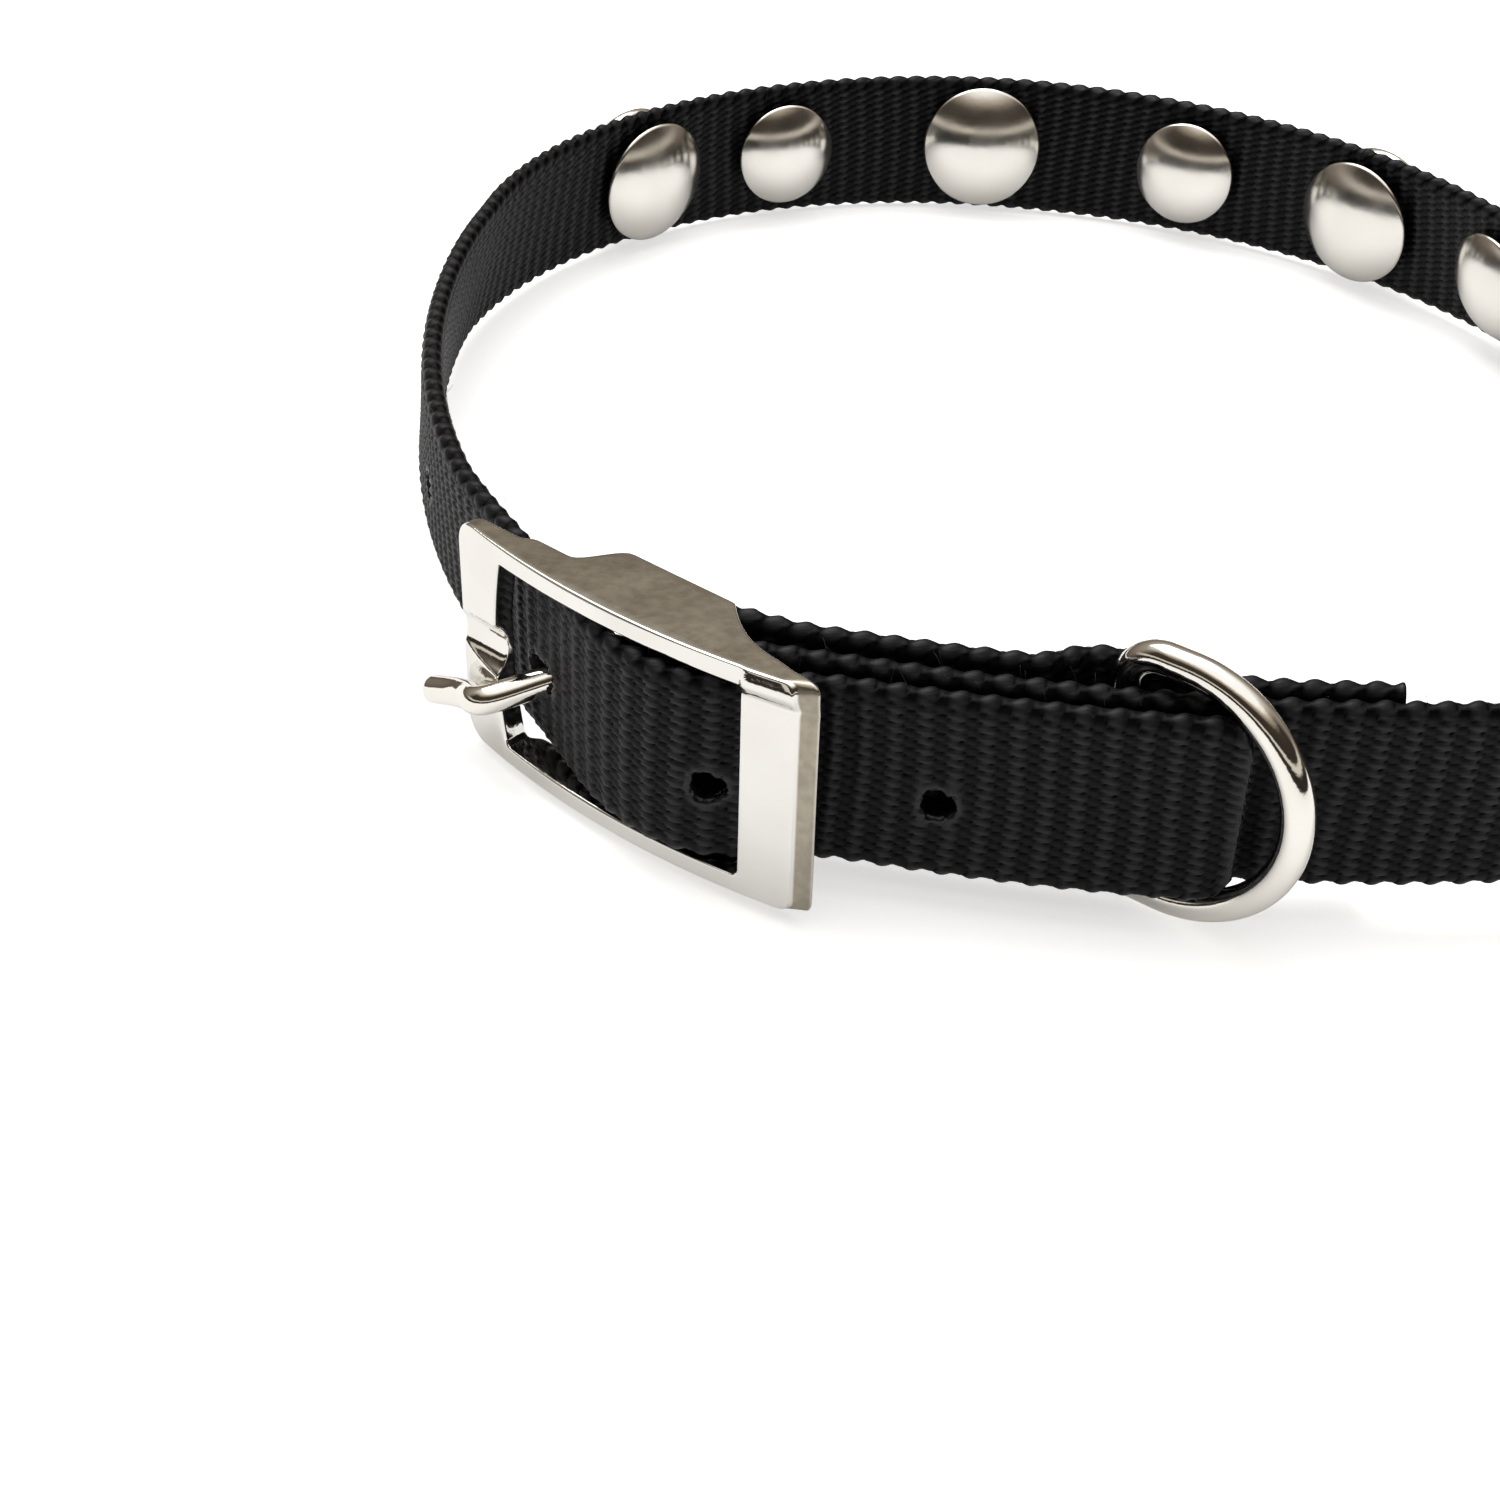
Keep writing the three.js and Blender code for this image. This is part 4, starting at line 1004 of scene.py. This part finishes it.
# The D-ring: one bent and welded wire, nickel-plated, its straight bar held between the two sewn laps
# and its bow reaching out round the webbing. It swings on that bar, so it rides on its own body.
RING_SIDE_CLEARANCE = 0.5
RING_ARM = 3.6
RING_CORNER = 2.2
RING_SWING = np.radians(32)
RING_STEPS = 200
bow_radius = WEB_WIDTH / 2 + RING_SIDE_CLEARANCE + RING_WIRE / 2
corner_turn = np.linspace(0, np.pi / 2, 16)
bow_turn = np.linspace(np.pi / 2, -np.pi / 2, 90)
ring_x = np.concatenate([
    [0], RING_CORNER * (1 - np.cos(corner_turn)), RING_ARM + bow_radius * np.cos(bow_turn),
    RING_CORNER * (1 - np.sin(corner_turn)), [0],
])
ring_z = np.concatenate([
    [0], bow_radius - RING_CORNER * (1 - np.sin(corner_turn)), bow_radius * np.sin(bow_turn),
    -bow_radius + RING_CORNER * (1 - np.cos(corner_turn)), [0],
])
ring_along = np.concatenate([[0], np.cumsum(np.hypot(np.diff(ring_x), np.diff(ring_z)))])
even = np.linspace(0, ring_along[-1], RING_STEPS, endpoint=False)
ring_x, ring_z = np.interp(even, ring_along, ring_x), np.interp(even, ring_along, ring_z)
ring_way = ring_heading - RING_SWING
ring_path = ring_place + np.stack([ring_x * np.cos(ring_way), ring_x * np.sin(ring_way), ring_z], 1)
ring_side = np.array([-np.sin(ring_way), np.cos(ring_way), 0])
ring_radii = np.full((1, RING_STEPS), RING_WIRE / 2)
ring_points, ring_faces = tubes(ring_path[None], ring_radii, ring_side, WIRE_SIDES, ring=True)
add_piece("leash_d_ring", ring_points, ring_faces, wire_plate, "leash_ring", ["d_ring"])


# The rivets: nickel-plated steel pairs set through the webbing, large and small in turn. Inside the
# collar each shows a low domed cap, outside a higher domed head, each with a small rolled rim.
RIVET_LARGE = {"cap": 10.8, "cap_height": 2.3, "head": 10.8, "head_height": 3.8}
RIVET_SMALL = {"cap": 9.2, "cap_height": 2.1, "head": 9.2, "head_height": 3.0}
TURNED_SIDES = 72
RIM_SHARE = 0.18
ROLL_SHARE = 0.05
rivet_plate = plated_finish("rivet_plate", (0.84, 0.82, 0.775), (0.78, 0.755, 0.71), 350, 0.15, 0.24, 0.02)


def domed(radius, height):
    """A domed button turned about Y: flat back, a rolled rim for its share of the height, then part of a
    sphere. The grid goes round it and along its profile, and its two poles are closed by fans."""
    rim = RIM_SHARE * height
    rise = height - rim
    sphere = (radius**2 + rise**2) / (2 * rise)
    roll = np.linspace(-np.pi / 2, 0, 6)
    widest = np.arcsin(radius / sphere)
    crown = np.linspace(widest, 0, 26)[1:-1]
    rolled_rim = radius * (1 - ROLL_SHARE + ROLL_SHARE * np.cos(roll))
    across = np.concatenate([radius * np.array([0.3, 0.6, 0.85]), rolled_rim, sphere * np.sin(crown)])
    dome = rim + sphere * (np.cos(crown) - np.cos(widest))
    out = np.concatenate([[0, 0, 0], rim * (1 + np.sin(roll)), dome])
    angle = np.linspace(0, 2 * np.pi, TURNED_SIDES, endpoint=False)[:, None]
    heights = out + np.zeros_like(angle)
    shell = np.stack([across * np.cos(angle), heights, across * np.sin(angle)], -1).reshape(-1, 3)
    points = np.concatenate([shell, [[0, 0, 0], [0, height, 0]]])
    quads = grid_quads(TURNED_SIDES, len(out), closed_rows=True).reshape(-1, 4)
    first = np.arange(TURNED_SIDES) * len(out)
    after = np.roll(first, -1)
    tops = len(out) - 1
    fans = np.concatenate([
        np.stack([np.full(TURNED_SIDES, len(shell)), after, first], 1),
        np.stack([np.full(TURNED_SIDES, len(shell) + 1), first + tops, after + tops], 1),
    ])
    return points, outward(points, [quads, fans])


for k, place in enumerate(rivet_places):
    size = RIVET_SMALL if k % 2 else RIVET_LARGE
    middle, _, tangent, inside, up = (part[0] for part in on_loop(place))
    near = np.mod(place + np.array([-0.5, 0, 0.5]) * size["cap"], loop_length)
    bends = (turns / lengths)[np.searchsorted(first_places, near + 1e-9, side="right") - 1]
    cap_seat = WEB_THICKNESS / 2 + BAR_GAP + (size["cap"] / 2) ** 2 * bends.max() / 2
    head_seat = WEB_THICKNESS / 2 + BAR_GAP
    basis = np.stack([tangent, inside, up])
    shape, faces = domed(size["cap"] / 2, size["cap_height"])
    add_piece(f"domed_cap_{k + 1}", middle + inside * cap_seat + shape @ basis, faces,
              rivet_plate, "collar", [f"rivet_cap_{k + 1}"])
    shape, faces = domed(size["head"] / 2, size["head_height"])
    shape = shape * [1, -1, -1]
    add_piece(f"domed_head_{k + 1}", middle - inside * head_seat + shape @ basis, faces,
              rivet_plate, "collar", [f"rivet_head_{k + 1}"])


# The studio: a pale table top that glows a little, and a softbox. The room round it is dark in front but
# for one bright strip and a bright ceiling, which polished metal shows as lines, and warmer and lighter
# behind. The camera itself sees a brighter table and a plain pale background.
TABLE_REACH = 3.0
BELOW = (0.95, 0.95, 0.95)
DARK = (0.03, 0.024, 0.02)
STRIP = (0.70, 0.64, 0.55)
CEILING = (1.2, 1.2, 1.2)
table_mesh = bpy.data.meshes.new("table_top")
table_corners = [(x * TABLE_REACH, y * TABLE_REACH, 0) for x, y in ((-1, -1), (1, -1), (1, 1), (-1, 1))]
table_mesh.from_pydata(table_corners, [], [(0, 1, 2, 3)])
table_finish, table_nodes, table_links, table_shader = new_finish("table_top")
table_shader.inputs["Base Color"].default_value = (0.93, 0.93, 0.93, 1)
table_shader.inputs["Roughness"].default_value = 0.9
table_shader.inputs["Specular IOR Level"].default_value = 0.1
seen_directly = table_nodes.new("ShaderNodeLightPath")
overexposed = new_node(table_nodes, "ShaderNodeMapRange", {"To Min": 0.22, "To Max": 0.62})
table_shader.inputs["Emission Color"].default_value = (1, 1, 1, 1)
table_links.new(seen_directly.outputs["Is Camera Ray"], overexposed.inputs["Value"])
table_links.new(overexposed.outputs["Result"], table_shader.inputs["Emission Strength"])
table_mesh.materials.append(table_finish)
table_top = bpy.data.objects.new("table_top", table_mesh)
bpy.context.scene.collection.objects.link(table_top)

world = bpy.data.worlds.new("studio")
world.use_nodes = True
bpy.context.scene.world = world
studio = world.node_tree.nodes
wires = world.node_tree.links
direction = studio.new("ShaderNodeTexCoord")
axes = studio.new("ShaderNodeSeparateXYZ")
height = new_node(studio, "ShaderNodeMapRange", {"From Min": -1})
front = ramp_between(studio, [
    (0.0, BELOW), (0.49, BELOW), (0.505, (0.03, 0.023, 0.017)), (0.59, DARK), (0.61, STRIP), (0.65, STRIP),
    (0.67, DARK), (0.83, (0.05, 0.04, 0.03)), (0.89, (0.45, 0.37, 0.28)), (0.94, (1.15, 1.13, 1.10)),
    (1.0, CEILING),
])
back = ramp_between(studio, [
    (0.0, BELOW), (0.49, BELOW), (0.505, (0.10, 0.08, 0.06)), (0.64, (0.24, 0.20, 0.16)),
    (0.78, (0.36, 0.32, 0.26)), (0.86, (0.75, 0.71, 0.65)), (0.93, (1.15, 1.15, 1.13)), (1.0, CEILING),
])
towards_back = new_node(studio, "ShaderNodeMapRange", {"From Min": -0.1, "From Max": 0.35})
room = studio.new("ShaderNodeMix")
room.data_type = "RGBA"
lit = studio["Background"]
pale = new_node(studio, "ShaderNodeBackground", {"Color": (1, 1, 1, 1)})
seen = studio.new("ShaderNodeLightPath")
choice = studio.new("ShaderNodeMixShader")
wires.new(direction.outputs["Generated"], axes.inputs["Vector"])
wires.new(axes.outputs["Z"], height.inputs["Value"])
wires.new(height.outputs["Result"], front.inputs["Fac"])
wires.new(height.outputs["Result"], back.inputs["Fac"])
wires.new(axes.outputs["Y"], towards_back.inputs["Value"])
wires.new(towards_back.outputs["Result"], room.inputs["Factor"])
wires.new(front.outputs["Color"], room.inputs["A"])
wires.new(back.outputs["Color"], room.inputs["B"])
wires.new(room.outputs["Result"], lit.inputs["Color"])
wires.new(seen.outputs["Is Camera Ray"], choice.inputs["Fac"])
wires.new(lit.outputs["Background"], choice.inputs[1])
wires.new(pale.outputs["Background"], choice.inputs[2])
wires.new(choice.outputs["Shader"], studio["World Output"].inputs["Surface"])

softbox_data = bpy.data.lights.new("softbox", "AREA")
softbox_data.shape = "RECTANGLE"
softbox_data.size = 0.9
softbox_data.size_y = 0.7
softbox_data.energy = 5
softbox = bpy.data.objects.new("softbox", softbox_data)
bpy.context.scene.collection.objects.link(softbox)
softbox.location = (-0.15, 0.35, 0.9)
softbox.rotation_euler = (np.radians(-21), np.radians(-9), 0)
bpy.context.scene.view_settings.view_transform = "Standard"
